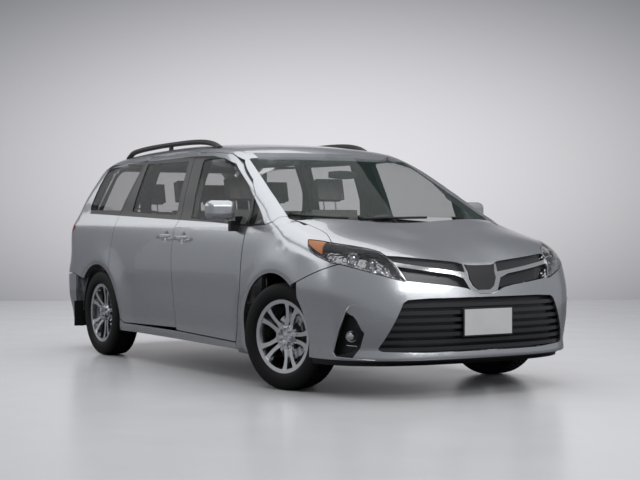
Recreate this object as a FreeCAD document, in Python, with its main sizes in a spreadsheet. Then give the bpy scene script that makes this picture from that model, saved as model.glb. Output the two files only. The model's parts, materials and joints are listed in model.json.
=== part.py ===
"""A minivan as an assembly of panels, glass, doors, wheels and running gear.

Frame: +X points forward, +Y to the vehicle's left, +Z up. The origin lies on the ground,
half way along and across the vehicle. Lengths are in millimetres.
"""

import FreeCAD, Part
import math
import os
from types import SimpleNamespace

from FreeCAD import Vector

doc = FreeCAD.newDocument("minivan")

# Driving dimensions, all in millimetres or degrees
DRIVING = {
    "form_scale": 1000,
    "overall_length": 5095,
    "body_width": 1985,
    "wheel_base": 3012,
    "front_overhang": 1042,
    "track_width": 1744,
    "tyre_diameter": 716,
    "tyre_width": 225,
    "rim_diameter": 457,
    "rim_flange": 17,
    "rim_wall": 9,
    "hub_radius": 76,
    "cap_radius": 31,
    "bore_radius": 36,
    "spoke_thickness": 44,
    "lug_circle": 114,
    "lug_hole": 12,
    "lug_depth": 30,
    "disc_radius": 150,
    "disc_thickness": 26,
    "steer_at_rest": 16,
    "kingpin_lean": 12,
    "panel_gap": 5,
    "seat_gap": 0.3,
    "skin_wall": 16,
    "pillar_wall": 46,
    "door_depth": 100,
    "glass_wall": 5,
    "lens_wall": 4,
    "lamp_depth": 60,
    "bowl_wall": 4,
    "glass_recess": 4,
    "front_arch_radius": 428,
    "front_arch_back": 8,
    "front_arch_drop": 6,
    "rear_arch_radius": 412,
    "arch_flare": 17,
    "liner_radius": 436,
    "liner_wall": 6,
    "overrun": 60,
}

sheet = doc.addObject("Spreadsheet::Sheet", "Sizes")
for row, (alias, value) in enumerate(DRIVING.items(), 1):
    sheet.set(f"A{row}", alias.replace("_", " "))
    sheet.set(f"B{row}", str(value))
    sheet.setAlias(f"B{row}", alias)
doc.recompute()
size = SimpleNamespace(**{alias: float(sheet.get(alias)) for alias in DRIVING})
FORM = size.form_scale

# Places that follow from the driving dimensions
nose = size.overall_length / 2
tail = -nose
front_axle = nose - size.front_overhang
rear_axle_x = front_axle - size.wheel_base
axle_height = size.tyre_diameter / 2
wheel_side = size.track_width / 2
half_body = size.body_width / 2
half_gap = size.panel_gap / 2


# Curves through tables of shares
def smooth(table, across=FORM, up=FORM):
    """Natural cubic spline through rows of shares, straight beyond its ends."""
    xs = [row[0] * across for row in table]
    ys = [row[1] * up for row in table]
    count = len(xs)
    steps = [xs[i + 1] - xs[i] for i in range(count - 1)]
    slopes = [(ys[i + 1] - ys[i]) / steps[i] for i in range(count - 1)]
    bend = [0.0] * count
    if count > 2:
        diag = [2 * (steps[i - 1] + steps[i]) for i in range(1, count - 1)]
        rhs = [6 * (slopes[i] - slopes[i - 1]) for i in range(1, count - 1)]
        for i in range(1, len(diag)):
            ratio = steps[i] / diag[i - 1]
            diag[i] -= ratio * steps[i]
            rhs[i] -= ratio * rhs[i - 1]
        for i in range(len(diag) - 1, -1, -1):
            after = steps[i + 1] * bend[i + 2] if i + 2 < count - 1 else 0.0
            bend[i + 1] = (rhs[i] - after) / diag[i]

    start = slopes[0] - steps[0] * (2 * bend[0] + bend[1]) / 6
    end = slopes[-1] + steps[-1] * (bend[-2] + 2 * bend[-1]) / 6

    def value(x):
        if x <= xs[0]:
            return ys[0] + start * (x - xs[0])
        if x >= xs[-1]:
            return ys[-1] + end * (x - xs[-1])
        i = 0
        while x > xs[i + 1]:
            i += 1
        width = steps[i]
        a = (xs[i + 1] - x) / width
        b = (x - xs[i]) / width
        cube_a = (a**3 - a) * bend[i]
        cube_b = (b**3 - b) * bend[i + 1]
        return a * ys[i] + b * ys[i + 1] + (cube_a + cube_b) * width**2 / 6

    return value


# Form of the body: rows of shares of the form scale, height or place first
side_shares = [
    (0.180, 0.918), (0.230, 0.948), (0.330, 0.961), (0.450, 0.976), (0.600, 0.9885),
    (0.720, 0.9925), (0.850, 0.9885), (0.950, 0.9786), (1.050, 0.9607), (1.120, 0.941),
    (1.160, 0.923), (1.300, 0.882), (1.450, 0.834), (1.600, 0.779), (1.680, 0.739),
    (1.750, 0.695),
]
nose_shares = [
    (0.170, -0.085), (0.225, -0.040), (0.258, -0.010), (0.300, -0.020), (0.350, -0.014),
    (0.450, 0.0), (0.560, -0.004),
    (0.650, -0.022), (0.740, -0.047), (0.800, -0.066), (0.850, -0.090), (1.0, -0.20),
]
tail_shares = [
    (0.200, 0.070), (0.260, 0.030), (0.350, 0.008), (0.450, 0.0), (0.600, 0.0),
    (0.700, 0.020), (0.780, 0.050), (0.900, 0.066), (1.050, 0.100), (1.150, 0.142),
    (1.300, 0.225), (1.450, 0.312), (1.600, 0.405), (1.700, 0.470),
]
hood_shares = [
    (1.250, 1.165), (1.400, 1.150), (1.526, 1.127), (1.677, 1.085), (1.977, 1.010),
    (2.150, 0.962), (2.277, 0.915), (2.380, 0.870), (2.4455, 0.838), (2.520, 0.795),
]
hood_across_shares = [
    (0.0, 0.0), (0.12, 0.001), (0.35, 0.013), (0.55, 0.016), (0.75, 0.004), (0.88, -0.018),
    (1.0, -0.05),
]
roof_shares = [
    (-2.150, 1.640), (-1.980, 1.672), (-1.700, 1.705), (-1.300, 1.733), (-0.900, 1.746),
    (-0.350, 1.750), (0.0, 1.736), (0.300, 1.706), (0.500, 1.676), (0.650, 1.648),
]
roof_across_shares = [
    (0.0, 0.0), (0.3, -0.006), (0.5, -0.017), (0.65, -0.033), (0.745, -0.052), (0.9, -0.1),
]
flare_shares = [
    (0.38, 0.5), (0.411, 0.75), (0.455, 1.0), (0.51, 0.72), (0.58, 0.22), (0.65, 0.0),
    (0.72, 0.0),
]
rear_corner_shares = [
    (0.20, 0.62), (0.30, 0.62), (0.50, 0.57), (0.70, 0.505), (0.92, 0.47), (1.03, 0.37), (1.20, 0.335),
    (1.35, 0.36), (1.55, 0.46), (1.70, 0.52),
]
corner = SimpleNamespace(
    front_start=1.84 * FORM,
    front_power=2.75,
    rear_power=3.0,
    shoulder=0.095 * FORM,
    lip=0.035 * FORM,
    cant=0.085 * FORM,
    pillar=0.050 * FORM,
)
screen = SimpleNamespace(
    base_x=1.5485 * FORM,
    base_z=1.127 * FORM,
    slope=0.521,
    bow=0.000108 * (1000 / FORM),
)

side_at = smooth(side_shares)
nose_at = smooth(nose_shares)
tail_at = smooth(tail_shares)
hood_at = smooth(hood_shares)
hood_across = smooth(hood_across_shares)
roof_at = smooth(roof_shares)
roof_across = smooth(roof_across_shares)
flare_at = smooth(flare_shares, FORM, 1)
rear_corner_at = smooth(rear_corner_shares)
screen_sine = screen.slope / math.hypot(1, screen.slope)
flare_end = flare_shares[-2][0] * FORM
flare_start = flare_shares[0][0] * FORM
form_top = side_shares[-1][0] * FORM


def half_width(x, z):
    width = side_at(min(z, form_top))
    for axle in (front_axle, rear_axle_x):
        reach = math.hypot(x - axle, z - axle_height)
        if reach < flare_end:
            width += size.arch_flare * flare_at(max(reach, flare_start))
    return width


def skirt(x, y, z):
    """Signed distance outside the plan outline at this height."""
    y = abs(y)
    start = corner.front_start
    if x > start:
        wide = half_width(start, z)
        long = max(nose + nose_at(z) - start, wide / 4)
        power = corner.front_power
        share = ((x - start) / long)**power + (y / wide)**power
        return (share**(1 / power) - 1) * wide
    long = rear_corner_at(z)
    start = tail + tail_at(z) + long
    if x < start:
        wide = half_width(start, z)
        power = corner.rear_power
        share = ((start - x) / long)**power + (y / wide)**power
        return (share**(1 / power) - 1) * wide
    return y - half_width(x, z)


def both(a, b, radius):
    """Signed distance outside two bodies' common part, with a rounded edge."""
    far = math.hypot(max(radius + a, 0), max(radius + b, 0))
    return min(-radius, max(a, b)) + far


def hood_height(x, y):
    return hood_at(x) + hood_across(abs(y))


def roof_height(x, y):
    return roof_at(x) + roof_across(abs(y))


def screen_x(y, z):
    return screen.base_x - (z - screen.base_z) / screen.slope - screen.bow * y * y


def outside(x, y, z):
    """Signed distance outside the whole body, near its surface."""
    around = skirt(x, y, z)
    start = corner.front_start
    blend = min(max((x - start) / (nose - start), 0), 1)**2
    edge = corner.shoulder * (1 - blend) + corner.lip * blend
    lower = both(around, z - hood_height(x, y), edge)
    upper = both(around, z - roof_height(x, y), corner.cant)
    glass = (x - screen_x(y, z)) * screen_sine
    upper = both(upper, glass, corner.pillar)
    return min(lower, upper)


def cast(start, way, reach=2 * FORM):
    """Place where a ray from inside leaves the body."""
    low, high = 0.0, reach
    for _ in range(26):
        mid = (low + high) / 2
        spot = start + way * mid
        if outside(spot.x, spot.y, spot.z) < 0:
            low = mid
        else:
            high = mid
    return start + way * ((low + high) / 2)


# Surfaces and slabs from grids of points
def ray_grid(rays, columns, rows, even=True):
    """Grid of surface points; rays(u, v) gives a start inside and a way out."""
    grid = []
    starts = []
    for i in range(columns):
        u = i / (columns - 1)
        line = [cast(*rays(u, j / (rows - 1))) for j in range(rows)]
        places = [j / (rows - 1) for j in range(rows)]
        if even:
            sums = [0.0]
            for j in range(rows - 1):
                sums.append(sums[-1] + (line[j + 1] - line[j]).Length)
            places = []
            k = 0
            for j in range(rows):
                goal = sums[-1] * j / (rows - 1)
                while k < rows - 2 and sums[k + 1] < goal:
                    k += 1
                part = (goal - sums[k]) / (sums[k + 1] - sums[k])
                places.append((k + part) / (rows - 1))
            line = [cast(*rays(u, v)) for v in places]
        grid.append(line)
        starts.append([rays(u, v)[0] for v in places])
    return grid, starts


def inward(grid, starts, depth):
    """The grid moved inward along its own normals."""
    columns = len(grid)
    rows = len(grid[0])
    moved = []
    for i in range(columns):
        line = []
        for j in range(rows):
            along = grid[min(i + 1, columns - 1)][j] - grid[max(i - 1, 0)][j]
            across = grid[i][min(j + 1, rows - 1)] - grid[i][max(j - 1, 0)]
            normal = along.cross(across)
            normal.normalize()
            if normal.dot(starts[i][j] - grid[i][j]) < 0:
                normal = -normal
            line.append(grid[i][j] + normal * depth)
        moved.append(line)
    return moved


def sheet_of(grid):
    surface = Part.BSplineSurface()
    surface.interpolate(grid)
    return surface


def closed_between(first, second):
    """Solid between two grids with the same borders in plan."""
    one = sheet_of(first)
    two = sheet_of(second)
    faces = [one.toShape(), two.toShape()]
    for k in range(4):
        value_one = one.bounds()[k]
        value_two = two.bounds()[k]
        edge_one = one.uIso(value_one) if k < 2 else one.vIso(value_one)
        edge_two = two.uIso(value_two) if k < 2 else two.vIso(value_two)
        faces.append(Part.makeRuledSurface(edge_one.toShape(), edge_two.toShape()))
    shell = Part.Shell(faces)
    shell.sewShape()
    solid = Part.Solid(shell)
    if solid.Volume < 0:
        solid.reverse()
    return solid


def shifted(grid, step):
    return [[spot + step for spot in line] for line in grid]


def slab(patch, wall, recess=0.0, straight=None):
    """Closed solid between a patch and the same patch further in."""
    grid, starts = patch
    if straight:
        outer = shifted(grid, straight * recess)
        inner = shifted(grid, straight * (recess + wall))
    else:
        outer = inward(grid, starts, recess) if recess else grid
        inner = inward(grid, starts, recess + wall)
    return closed_between(outer, inner)


def outline_face(points, radius=0.0, grow=0.0):
    """Flat face inside a closed run of points, with rounded corners."""
    count = len(points)
    edges = []
    ends = []
    for i in range(count):
        here = points[i]
        back = points[i - 1] - here
        on = points[(i + 1) % count] - here
        turn = back.getAngle(on)
        room = min(back.Length, on.Length) * 0.49
        cut = min(radius / math.tan(turn / 2), room) if math.pi - turn > 0.02 else 0.0
        back.normalize()
        on.normalize()
        if cut > 0.01:
            first = here + back * cut
            last = here + on * cut
            arc_radius = cut * math.tan(turn / 2)
            way = (back + on).normalize()
            far = arc_radius / math.sin(turn / 2) - arc_radius
            edges.append(Part.Arc(first, here + way * far, last).toShape())
            ends.append((first, last))
        else:
            ends.append((here, here))
    for i in range(count):
        first = ends[i][1]
        last = ends[(i + 1) % count][0]
        if (first - last).Length > 0.01:
            edges.append(Part.makeLine(first, last))
    wire = Part.Wire(Part.__sortEdges__(edges))
    face = Part.Face(wire)
    if grow:
        face = face.makeOffset2D(grow)
    return face


def prism_along(points, axis, low, high, radius=0.0, grow=0.0):
    """Prism over an outline of shares in the plane across an axis."""
    places = []
    for a, b in points:
        if axis == "x":
            places.append(Vector(low, a * FORM, b * FORM))
        elif axis == "y":
            places.append(Vector(a * FORM, low, b * FORM))
        else:
            places.append(Vector(a * FORM, b * FORM, low))
    way = {"x": Vector(1, 0, 0), "y": Vector(0, 1, 0), "z": Vector(0, 0, 1)}[axis]
    return outline_face(places, radius, grow).extrude(way * (high - low))


def box(x0, x1, y0, y1, z0, z1, radius=0.0):
    """Box between places given as shares."""
    low = Vector(x0 * FORM, y0 * FORM, z0 * FORM)
    solid = Part.makeBox((x1 - x0) * FORM, (y1 - y0) * FORM, (z1 - z0) * FORM, low)
    if radius:
        solid = solid.makeFillet(radius * FORM, solid.Edges)
    return solid


def tube(start, end, radius):
    """Round bar between two places given as shares."""
    first = Vector(*[share * FORM for share in start])
    last = Vector(*[share * FORM for share in end])
    way = last - first
    return Part.makeCylinder(radius * FORM, way.Length, first, way)


def wheel_cylinder(x, radius, y0, y1):
    return Part.makeCylinder(
        radius, y1 - y0, Vector(x, y0, axle_height), Vector(0, 1, 0)
    )


def mirrored(shape):
    return shape.mirror(Vector(0, 0, 0), Vector(0, 1, 0))


def join(shapes):
    first = shapes[0]
    if len(shapes) == 1:
        return first
    return first.fuse(shapes[1:]).removeSplitter()


pieces = {}


def keep(name, shape):
    """Add a sub-part and remember it for the export."""
    item = doc.addObject("Part::Feature", name)
    item.Label = name
    item.Shape = shape
    pieces[name] = item
    return item


def soft_least(a, b, blend):
    """The smaller of two values, with a rounded change between them."""
    share = max(blend - abs(a - b), 0) / blend
    return min(a, b) - share**2 * blend / 4


# Patches of the body surface, right side where there is a pair
def side_rays(u, v):
    x = (-1.40 + 2.95 * u) * FORM
    wide = side_at(1.20 * FORM)
    glass = screen.base_z + screen.slope * (screen.base_x - x - screen.bow * wide**2)
    top = soft_least(1.668 * FORM, glass - 0.012 * FORM, 0.12 * FORM)
    z = 0.195 * FORM + (top - 0.195 * FORM) * v
    return Vector(x, 0, z), Vector(0, -1, 0)


def rear_side_rays(u, v):
    fall = min(max((u - 0.30) / 0.35, 0), 1)
    top = 1.640 - 0.065 * fall**2 * (3 - 2 * fall)
    z = (0.195 + (top - 0.195) * v) * FORM
    start = tail + tail_at(z) + 0.30 * FORM
    begin = -0.95 * FORM
    straight = 0.62
    if u < straight:
        x = begin + (start - begin) * u / straight
        return Vector(x, -0.45 * FORM, z), Vector(0, -1, 0)
    turn = math.radians(88 * (u - straight) / (1 - straight))
    return Vector(start, -0.45 * FORM, z), Vector(-math.sin(turn), -math.cos(turn), 0)


def fender_rays(u, v):
    x = (0.86 + 1.46 * u) * FORM
    knee = 0.55
    if v < knee:
        z = (0.195 + 0.605 * v / knee) * FORM
        return Vector(x, -0.5 * FORM, z), Vector(0, -1, 0)
    turn = math.radians(62 * (v - knee) / (1 - knee))
    return Vector(x, -0.5 * FORM, 0.8 * FORM), Vector(0, -math.cos(turn), math.sin(turn))


def nose_rays(u, v):
    turn = math.radians(-72 + 144 * u)
    z = (0.20 + 0.70 * v) * FORM
    return Vector(1.5 * FORM, 0, z), Vector(math.cos(turn), math.sin(turn), 0)


def lamp_rays(u, v):
    turn = math.radians(-90 + 98 * u)
    rise = math.radians(2 + 46 * v)
    way = Vector(math.cos(turn) * math.cos(rise), math.sin(turn) * math.cos(rise), math.sin(rise))
    return Vector(1.78 * FORM, -0.45 * FORM, 0.62 * FORM), way


def tail_rays(u, v):
    turn = math.radians(180 - 76 + 152 * u)
    z = (0.215 + 0.56 * v) * FORM
    return Vector(-1.75 * FORM, 0, z), Vector(math.cos(turn), math.sin(turn), 0)


def gate_rays(u, v):
    z = (0.55 + 1.04 * v) * FORM
    y = (side_at(z) - 0.17 * FORM) * (2 * u - 1)
    return Vector(-1.5 * FORM, y, z), Vector(-1, 0, 0)


def hood_rays(u, v):
    y = 0.86 * FORM * (2 * v - 1)
    start = corner.front_start
    long = nose + nose_at(0.84 * FORM) - start
    wide = half_width(start, 0.84 * FORM)
    power = corner.front_power
    end = start + long * (1 - (abs(y) / wide)**power)**(1 / power) - 0.012 * FORM
    x = 1.36 * FORM + (end - 1.36 * FORM) * u
    return Vector(x, y, 0.6 * FORM), Vector(0, 0, 1)


def roof_rays(u, v):
    y = (-0.73 + 1.46 * v) * FORM
    x = (-2.10 + 2.76 * u) * FORM
    return Vector(x, y, 1.2 * FORM), Vector(0, 0, 1)


screen_up = Vector(-1, 0, screen.slope)
screen_up.normalize()
screen_out = Vector(screen.slope, 0, 1)
screen_out.normalize()


def screen_rays(u, v):
    base = Vector(1.50 * FORM, (-0.86 + 1.72 * u) * FORM, 0.98 * FORM)
    return base + screen_up * (1.12 * v * FORM), screen_out


rail_shares = [
    (1.53, 0.80, 1.02), (1.30, 0.76, 1.16), (1.05, 0.70, 1.32), (0.80, 0.64, 1.46),
    (0.55, 0.60, 1.55), (0.25, 0.59, 1.58), (-0.10, 0.59, 1.60), (-0.60, 0.59, 1.61),
    (-1.10, 0.59, 1.60), (-1.60, 0.58, 1.58), (-2.02, 0.56, 1.53),
]
rail_low_shares = [
    (-2.05, -14), (0.75, -14), (0.92, -34), (1.06, -54), (1.20, -36), (1.35, -18), (1.55, -8),
]
rail_low = smooth(rail_low_shares, FORM, 1)
rail_run = [(row[0], row) for row in rail_shares][::-1]
rail_y = smooth([(row[0], row[1]) for _, row in rail_run])
rail_z = smooth([(row[0], row[2]) for _, row in rail_run])


def rail_rays(u, v):
    x = (1.50 - 3.55 * u) * FORM
    low = rail_low(x)
    turn = math.radians(low + (84 - low) * v)
    return (
        Vector(x, -rail_y(x), rail_z(x)),
        Vector(0, -math.cos(turn), math.sin(turn)),
    )


side_patch = ray_grid(side_rays, 56, 34)
rear_side_patch = ray_grid(rear_side_rays, 46, 30)
fender_patch = ray_grid(fender_rays, 34, 26)
nose_patch = ray_grid(nose_rays, 49, 18)
lamp_patch = ray_grid(lamp_rays, 24, 16)
tail_patch = ray_grid(tail_rays, 45, 14)
gate_patch = ray_grid(gate_rays, 33, 26)
hood_patch = ray_grid(hood_rays, 30, 39, False)
roof_patch = ray_grid(roof_rays, 48, 33, False)
screen_patch = ray_grid(screen_rays, 25, 20, False)
rail_patch = ray_grid(rail_rays, 64, 14)

# Outlines of the right side, as shares along and up
front_door_outline = [
    (0.906, 0.277), (0.966, 0.430), (1.0265, 0.630), (1.0435, 0.975), (1.0535, 1.082),
    (1.040, 1.318), (0.900, 1.420), (0.620, 1.572), (0.430, 1.628), (0.2235, 1.645),
    (-0.108, 1.656), (-0.1025, 1.603), (-0.0465, 1.145), (-0.0935, 1.079),
    (-0.0875, 0.860), (-0.0535, 0.584), (-0.0605, 0.318), (-0.045, 0.300),
]
front_glass_outline = [
    (1.035, 1.098), (1.018, 1.304), (0.8965, 1.391), (0.6125, 1.543), (0.3605, 1.600),
    (0.0665, 1.594), (0.1315, 1.150),
]
quarter_light_outline = [(1.075, 1.104), (1.050, 1.292), (1.290, 1.112)]
sliding_outline = [
    (-0.0605, 0.318), (-0.0535, 0.584), (-0.0875, 0.860), (-0.0935, 1.079),
    (-0.0465, 1.145), (-0.1025, 1.603), (-0.108, 1.660), (-0.985, 1.660),
    (-1.0125, 1.591), (-1.2235, 1.196), (-1.250, 1.100), (-1.2595, 0.853),
    (-1.2250, 0.640), (-1.1725, 0.458), (-1.0965, 0.335), (-1.0065, 0.303),
]
sliding_glass_outline = [
    (-0.140, 1.172), (-0.185, 1.594), (-0.950, 1.600), (-0.9945, 1.205),
]
quarter_glass_outline = [
    (-1.2290, 1.222), (-1.030, 1.598), (-1.4145, 1.602), (-1.7400, 1.590),
    (-1.8325, 1.460), (-1.9195, 1.232),
]
far_side = -1.20 * FORM
deep_side = -0.50 * FORM


def side_prism(points, radius=0.0, grow=0.0):
    return prism_along(points, "y", far_side, deep_side, radius, grow)


inboard = Vector(0, 1, 0)
front_wheel_room = wheel_cylinder(
    front_axle - size.front_arch_back, size.front_arch_radius, far_side, deep_side
)
front_wheel_room.translate(Vector(0, 0, -size.front_arch_drop))
rear_wheel_room = wheel_cylinder(rear_axle_x, size.rear_arch_radius, far_side, deep_side)
side_skin = slab(side_patch, size.pillar_wall, 0.0, inboard)
side_door = slab(side_patch, size.door_depth, 0.0, inboard)
side_glass = slab(side_patch, size.glass_wall, size.glass_recess, inboard)
rear_side_skin = slab(rear_side_patch, size.pillar_wall)
rear_glass = slab(rear_side_patch, size.glass_wall, size.glass_recess)
fender_skin = slab(fender_patch, size.skin_wall)
nose_skin = slab(nose_patch, size.skin_wall)
tail_skin = slab(tail_patch, size.skin_wall)
gate_skin = slab(gate_patch, size.skin_wall)
gate_glass = slab(gate_patch, size.glass_wall, size.glass_recess)
hood_skin = slab(hood_patch, size.skin_wall)
roof_skin = slab(roof_patch, size.pillar_wall)
screen_pane = slab(screen_patch, size.glass_wall)
rail_skin = slab(rail_patch, size.pillar_wall)


# Doors: a deep lower half and a thin frame around the glass
def door(outline, glass, window_low):
    whole = side_prism(outline, 0.012 * FORM, -half_gap)
    opening = side_prism(glass, 0.020 * FORM)
    frame = side_skin.common(whole)
    deep = side_door.common(whole).cut(box(-2.0, 2.0, -1.2, -0.5, window_low, 1.8))
    return frame.fuse(deep).cut(opening)


glass_corner = 0.020 * FORM
front_door = door(front_door_outline, front_glass_outline, 1.085)
sliding_door = door(sliding_outline, sliding_glass_outline, 1.140).cut(rear_wheel_room)
tight = -size.seat_gap
front_pane = side_glass.common(side_prism(front_glass_outline, glass_corner, tight))
sliding_pane = side_glass.common(side_prism(sliding_glass_outline, glass_corner, tight))
quarter_pane = rear_glass.common(side_prism(quarter_glass_outline, glass_corner, tight))
light_pane = side_glass.common(side_prism(quarter_light_outline, 0.010 * FORM, tight))

# Body sides: sill, rear quarter with its wheel arch, pillars and roof rail
screen_edge_shares = [(0.5985, 0.677, 1.596), (1.4215, 0.881, 1.150)]
sill_outline = [
    (-1.120, 0.235), (-1.125, 0.340), (-1.096, 0.330), (-1.006, 0.298), (-0.045, 0.295), (0.906, 0.272),
    (0.906, 0.222),
    (0.0055, 0.230),
]
quarter_outline = [
    (-1.0040, 0.235), (-1.0065, 0.303), (-1.0965, 0.335), (-1.1725, 0.458),
    (-1.2250, 0.640), (-1.2595, 0.853), (-1.250, 1.100), (-1.2235, 1.196),
    (-1.0125, 1.591), (-0.990, 1.625), (-1.75, 1.622), (-1.95, 1.560), (-2.40, 1.555),
    (-2.62, 1.10), (-2.62, 0.680), (-2.05, 0.680), (-1.80, 0.640), (-1.70, 0.300),
]
gate_outline = [
    (-0.600, 0.590), (-0.690, 0.700), (-0.715, 0.900), (-0.715, 1.120), (-0.690, 1.250),
    (-0.645, 1.450), (-0.595, 1.655), (0.595, 1.655), (0.645, 1.450), (0.690, 1.250),
    (0.715, 1.120), (0.715, 0.900), (0.690, 0.700), (0.600, 0.590),
]
gate_glass_outline = [
    (-0.640, 1.190), (-0.560, 1.580), (0.560, 1.580), (0.640, 1.190),
]
gate_room = prism_along(gate_outline, "x", -3 * FORM, -1.9 * FORM, 0.02 * FORM, half_gap)
quarter = rear_side_skin.common(side_prism(quarter_outline, 0.010 * FORM, -half_gap))
quarter = quarter.cut([
    side_prism(quarter_glass_outline, glass_corner),
    rear_wheel_room,
    gate_room,
])
rail_fender_outline = [
    (1.0585, 0.90), (1.0585, 1.090), (1.300, 1.098), (1.400, 1.120), (1.47, 1.30),
    (1.70, 1.30), (1.70, 0.90),
]
sill = side_door.common(side_prism(sill_outline, 0.0, -half_gap / 2))
sill = sill.cut(rear_wheel_room)
rail = rail_skin
for tool in (
    side_prism(front_door_outline, 0.012 * FORM, half_gap),
    side_prism(sliding_outline, 0.012 * FORM, half_gap),
    side_prism(rail_fender_outline, 0.0, half_gap),
    side_prism(quarter_light_outline, 0.010 * FORM),
):
    rail = rail.cut(tool)
quarter_top = side_prism(quarter_outline, 0.010 * FORM, size.seat_gap - half_gap)
rail = rail.cut(quarter_top)

# Screen outline, in the plane across its own slope
screen_outline = [(0.840, 1.128), (0.690, 1.588), (-0.690, 1.588), (-0.840, 1.128)]


def screen_prism(grow, low, high):
    spots = [Vector(1.2 * FORM, a * FORM, b * FORM) for a, b in screen_outline]
    base = Vector(1.2 * FORM, 0, 0)
    flat = []
    for spot in spots:
        over = (screen_x(spot.y, spot.z) - base.x)
        place = Vector(base.x + over, spot.y, spot.z)
        drop = place.dot(screen_out) - base.dot(screen_out)
        flat.append(place - screen_out * drop)
    return outline_face(flat, 0.03 * FORM, grow).extrude(screen_out * (high - low))


glass_room = screen_prism(0.5, 0, 2.2 * FORM)
windshield = screen_pane.common(screen_prism(0.5 + tight, 0, 2.2 * FORM))
hood_half_outline = [
    (1.585, 0.0), (1.568, 0.40), (1.510, 0.785), (1.481, 0.818), (1.559, 0.800), (1.661, 0.784),
    (1.760, 0.779), (1.840, 0.787), (1.912, 0.812), (2.009, 0.853), (2.080, 0.858),
    (2.350, 0.760), (2.560, 0.560), (2.560, 0.0),
]
hood_outline = hood_half_outline[:-1] + [(x, -y) for x, y in hood_half_outline[:0:-1]]
hood_edge_shares = [
    (0.0, 0.834), (0.095, 0.836), (0.125, 0.842), (0.150, 0.850), (0.175, 0.857),
    (0.270, 0.867), (0.400, 0.880), (0.560, 0.896), (0.660, 0.902), (0.800, 0.902),
]
hood_edge_line = [(-y, z) for y, z in hood_edge_shares[:0:-1]] + hood_edge_shares
hood_room = prism_along(hood_outline, "z", 0.5 * FORM, 1.6 * FORM, 0.01 * FORM, half_gap)
hood_core = prism_along(hood_outline, "z", 0.5 * FORM, 1.6 * FORM, 0.01 * FORM, -half_gap)
above_edge = hood_edge_line + [(0.800, 1.40), (-0.800, 1.40)]
hood_front_room = prism_along(above_edge, "x", 2.0 * FORM, 2.7 * FORM, 0.0, half_gap)
under_edge = hood_edge_line + [(0.800, 0.50), (-0.800, 0.50)]
under_hood = prism_along(under_edge, "x", 2.0 * FORM, 2.7 * FORM, 0.0, half_gap)

# Lamps: the outline is drawn square to a line of sight that passes the front corner
lamp_way = Vector(0.853, -0.522, 0)
lamp_way.normalize()
lamp_side = Vector(0.522, 0.853, 0)
lamp_side.normalize()
lamp_outline = [
    (0.173, 1.004), (0.216, 1.001), (0.270, 0.994), (0.323, 0.984), (0.460, 0.964),
    (0.560, 0.946), (0.628, 0.926), (0.674, 0.895), (0.713, 0.846), (0.760, 0.774),
    (0.790, 0.740), (0.759, 0.747), (0.644, 0.779), (0.509, 0.815), (0.395, 0.845),
    (0.317, 0.859), (0.228, 0.899), (0.190, 0.925), (0.171, 0.966),
]


def lamp_prism(grow):
    base = lamp_way * (1.2 * FORM)
    spots = [base + lamp_side * (a * FORM) + Vector(0, 0, b * FORM) for a, b in lamp_outline]
    return outline_face(spots, 0.004 * FORM, grow).extrude(lamp_way * (1.8 * FORM))


lamp_skin = slab(lamp_patch, size.lens_wall)
lamp = lamp_skin.common(lamp_prism(-half_gap))
lamp_room = lamp_prism(half_gap)
lamp_rooms = [lamp_room, mirrored(lamp_room)]
hood = hood_skin.common(hood_core).cut(lamp_rooms).cut(under_hood)
hood = max(hood.Solids, key=lambda solid: solid.Volume)
fender_outline = [
    (0.9115, 0.272), (0.971, 0.430), (1.0315, 0.630), (1.0485, 0.975), (1.0585, 1.090),
    (1.300, 1.098), (1.400, 1.120), (1.47, 1.30), (1.60, 1.30), (2.30, 1.10), (2.2855, 0.900),
    (2.1855, 0.851), (1.7545, 0.707), (1.7545, 0.20), (0.905, 0.20),
]
fender = fender_skin.common(side_prism(fender_outline, 0.0, -half_gap))
cowl_room = box(1.0, 1.62, -0.822, -0.4, 1.0, 1.6)
fender = fender.cut([front_wheel_room, lamp_room, hood_room, glass_room, cowl_room])
fender = max(fender.Solids, key=lambda solid: solid.Volume)

# Lamp bowls behind the lenses, with two round cups in each
def largest(shape):
    return max(shape.Solids, key=lambda solid: solid.Volume)


def cup(place, way, radius, wall, depth, long):
    """Round cup that opens along a way at a place given as shares."""
    mouth = Vector(*[share * FORM for share in place])
    whole = Part.makeCylinder(radius * FORM, long * FORM, mouth - way * (long * FORM), way)
    inside = (radius - wall) * FORM
    return whole.cut(Part.makeCylinder(inside, 2 * depth * FORM, mouth - way * (depth * FORM), way))


def ring_prism(maker, outer, inner):
    return maker(outer).cut(maker(inner))


bowl_floor = slab(lamp_patch, size.bowl_wall, size.lamp_depth).common(lamp_prism(-half_gap))
bowl_sides = slab(lamp_patch, size.lamp_depth, size.lens_wall + size.seat_gap)
bowl_sides = bowl_sides.common(ring_prism(lamp_prism, -half_gap, -half_gap - size.bowl_wall))
lamp_bowl = bowl_floor.fuse(bowl_sides)
bowl_back = slab(lamp_patch, 4 * size.lamp_depth, size.lamp_depth + size.bowl_wall / 2)
lamp_face = Vector(math.cos(math.radians(22)), -math.sin(math.radians(22)), 0)
cup_shares = [((2.205, -0.812, 0.882), 0.038), ((2.291, -0.725, 0.851), 0.033)]
bowl_inside = slab(lamp_patch, 4 * size.lamp_depth, 2 * size.lens_wall)
for place, radius in cup_shares:
    item = cup(place, lamp_face, radius, 0.005, 0.028, 0.12)
    lamp_bowl = lamp_bowl.fuse(item.common(bowl_inside).cut(bowl_back))
lamp_bowl = largest(lamp_bowl)


# Layers that follow the nose behind its skin
def nose_place(y, z, back):
    start = corner.front_start
    wide = half_width(start, z)
    long = nose + nose_at(z) - start
    share = 1 - (abs(y) / wide)**corner.front_power
    return Vector(start + long * share**(1 / corner.front_power) - back, y, z)


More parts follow.
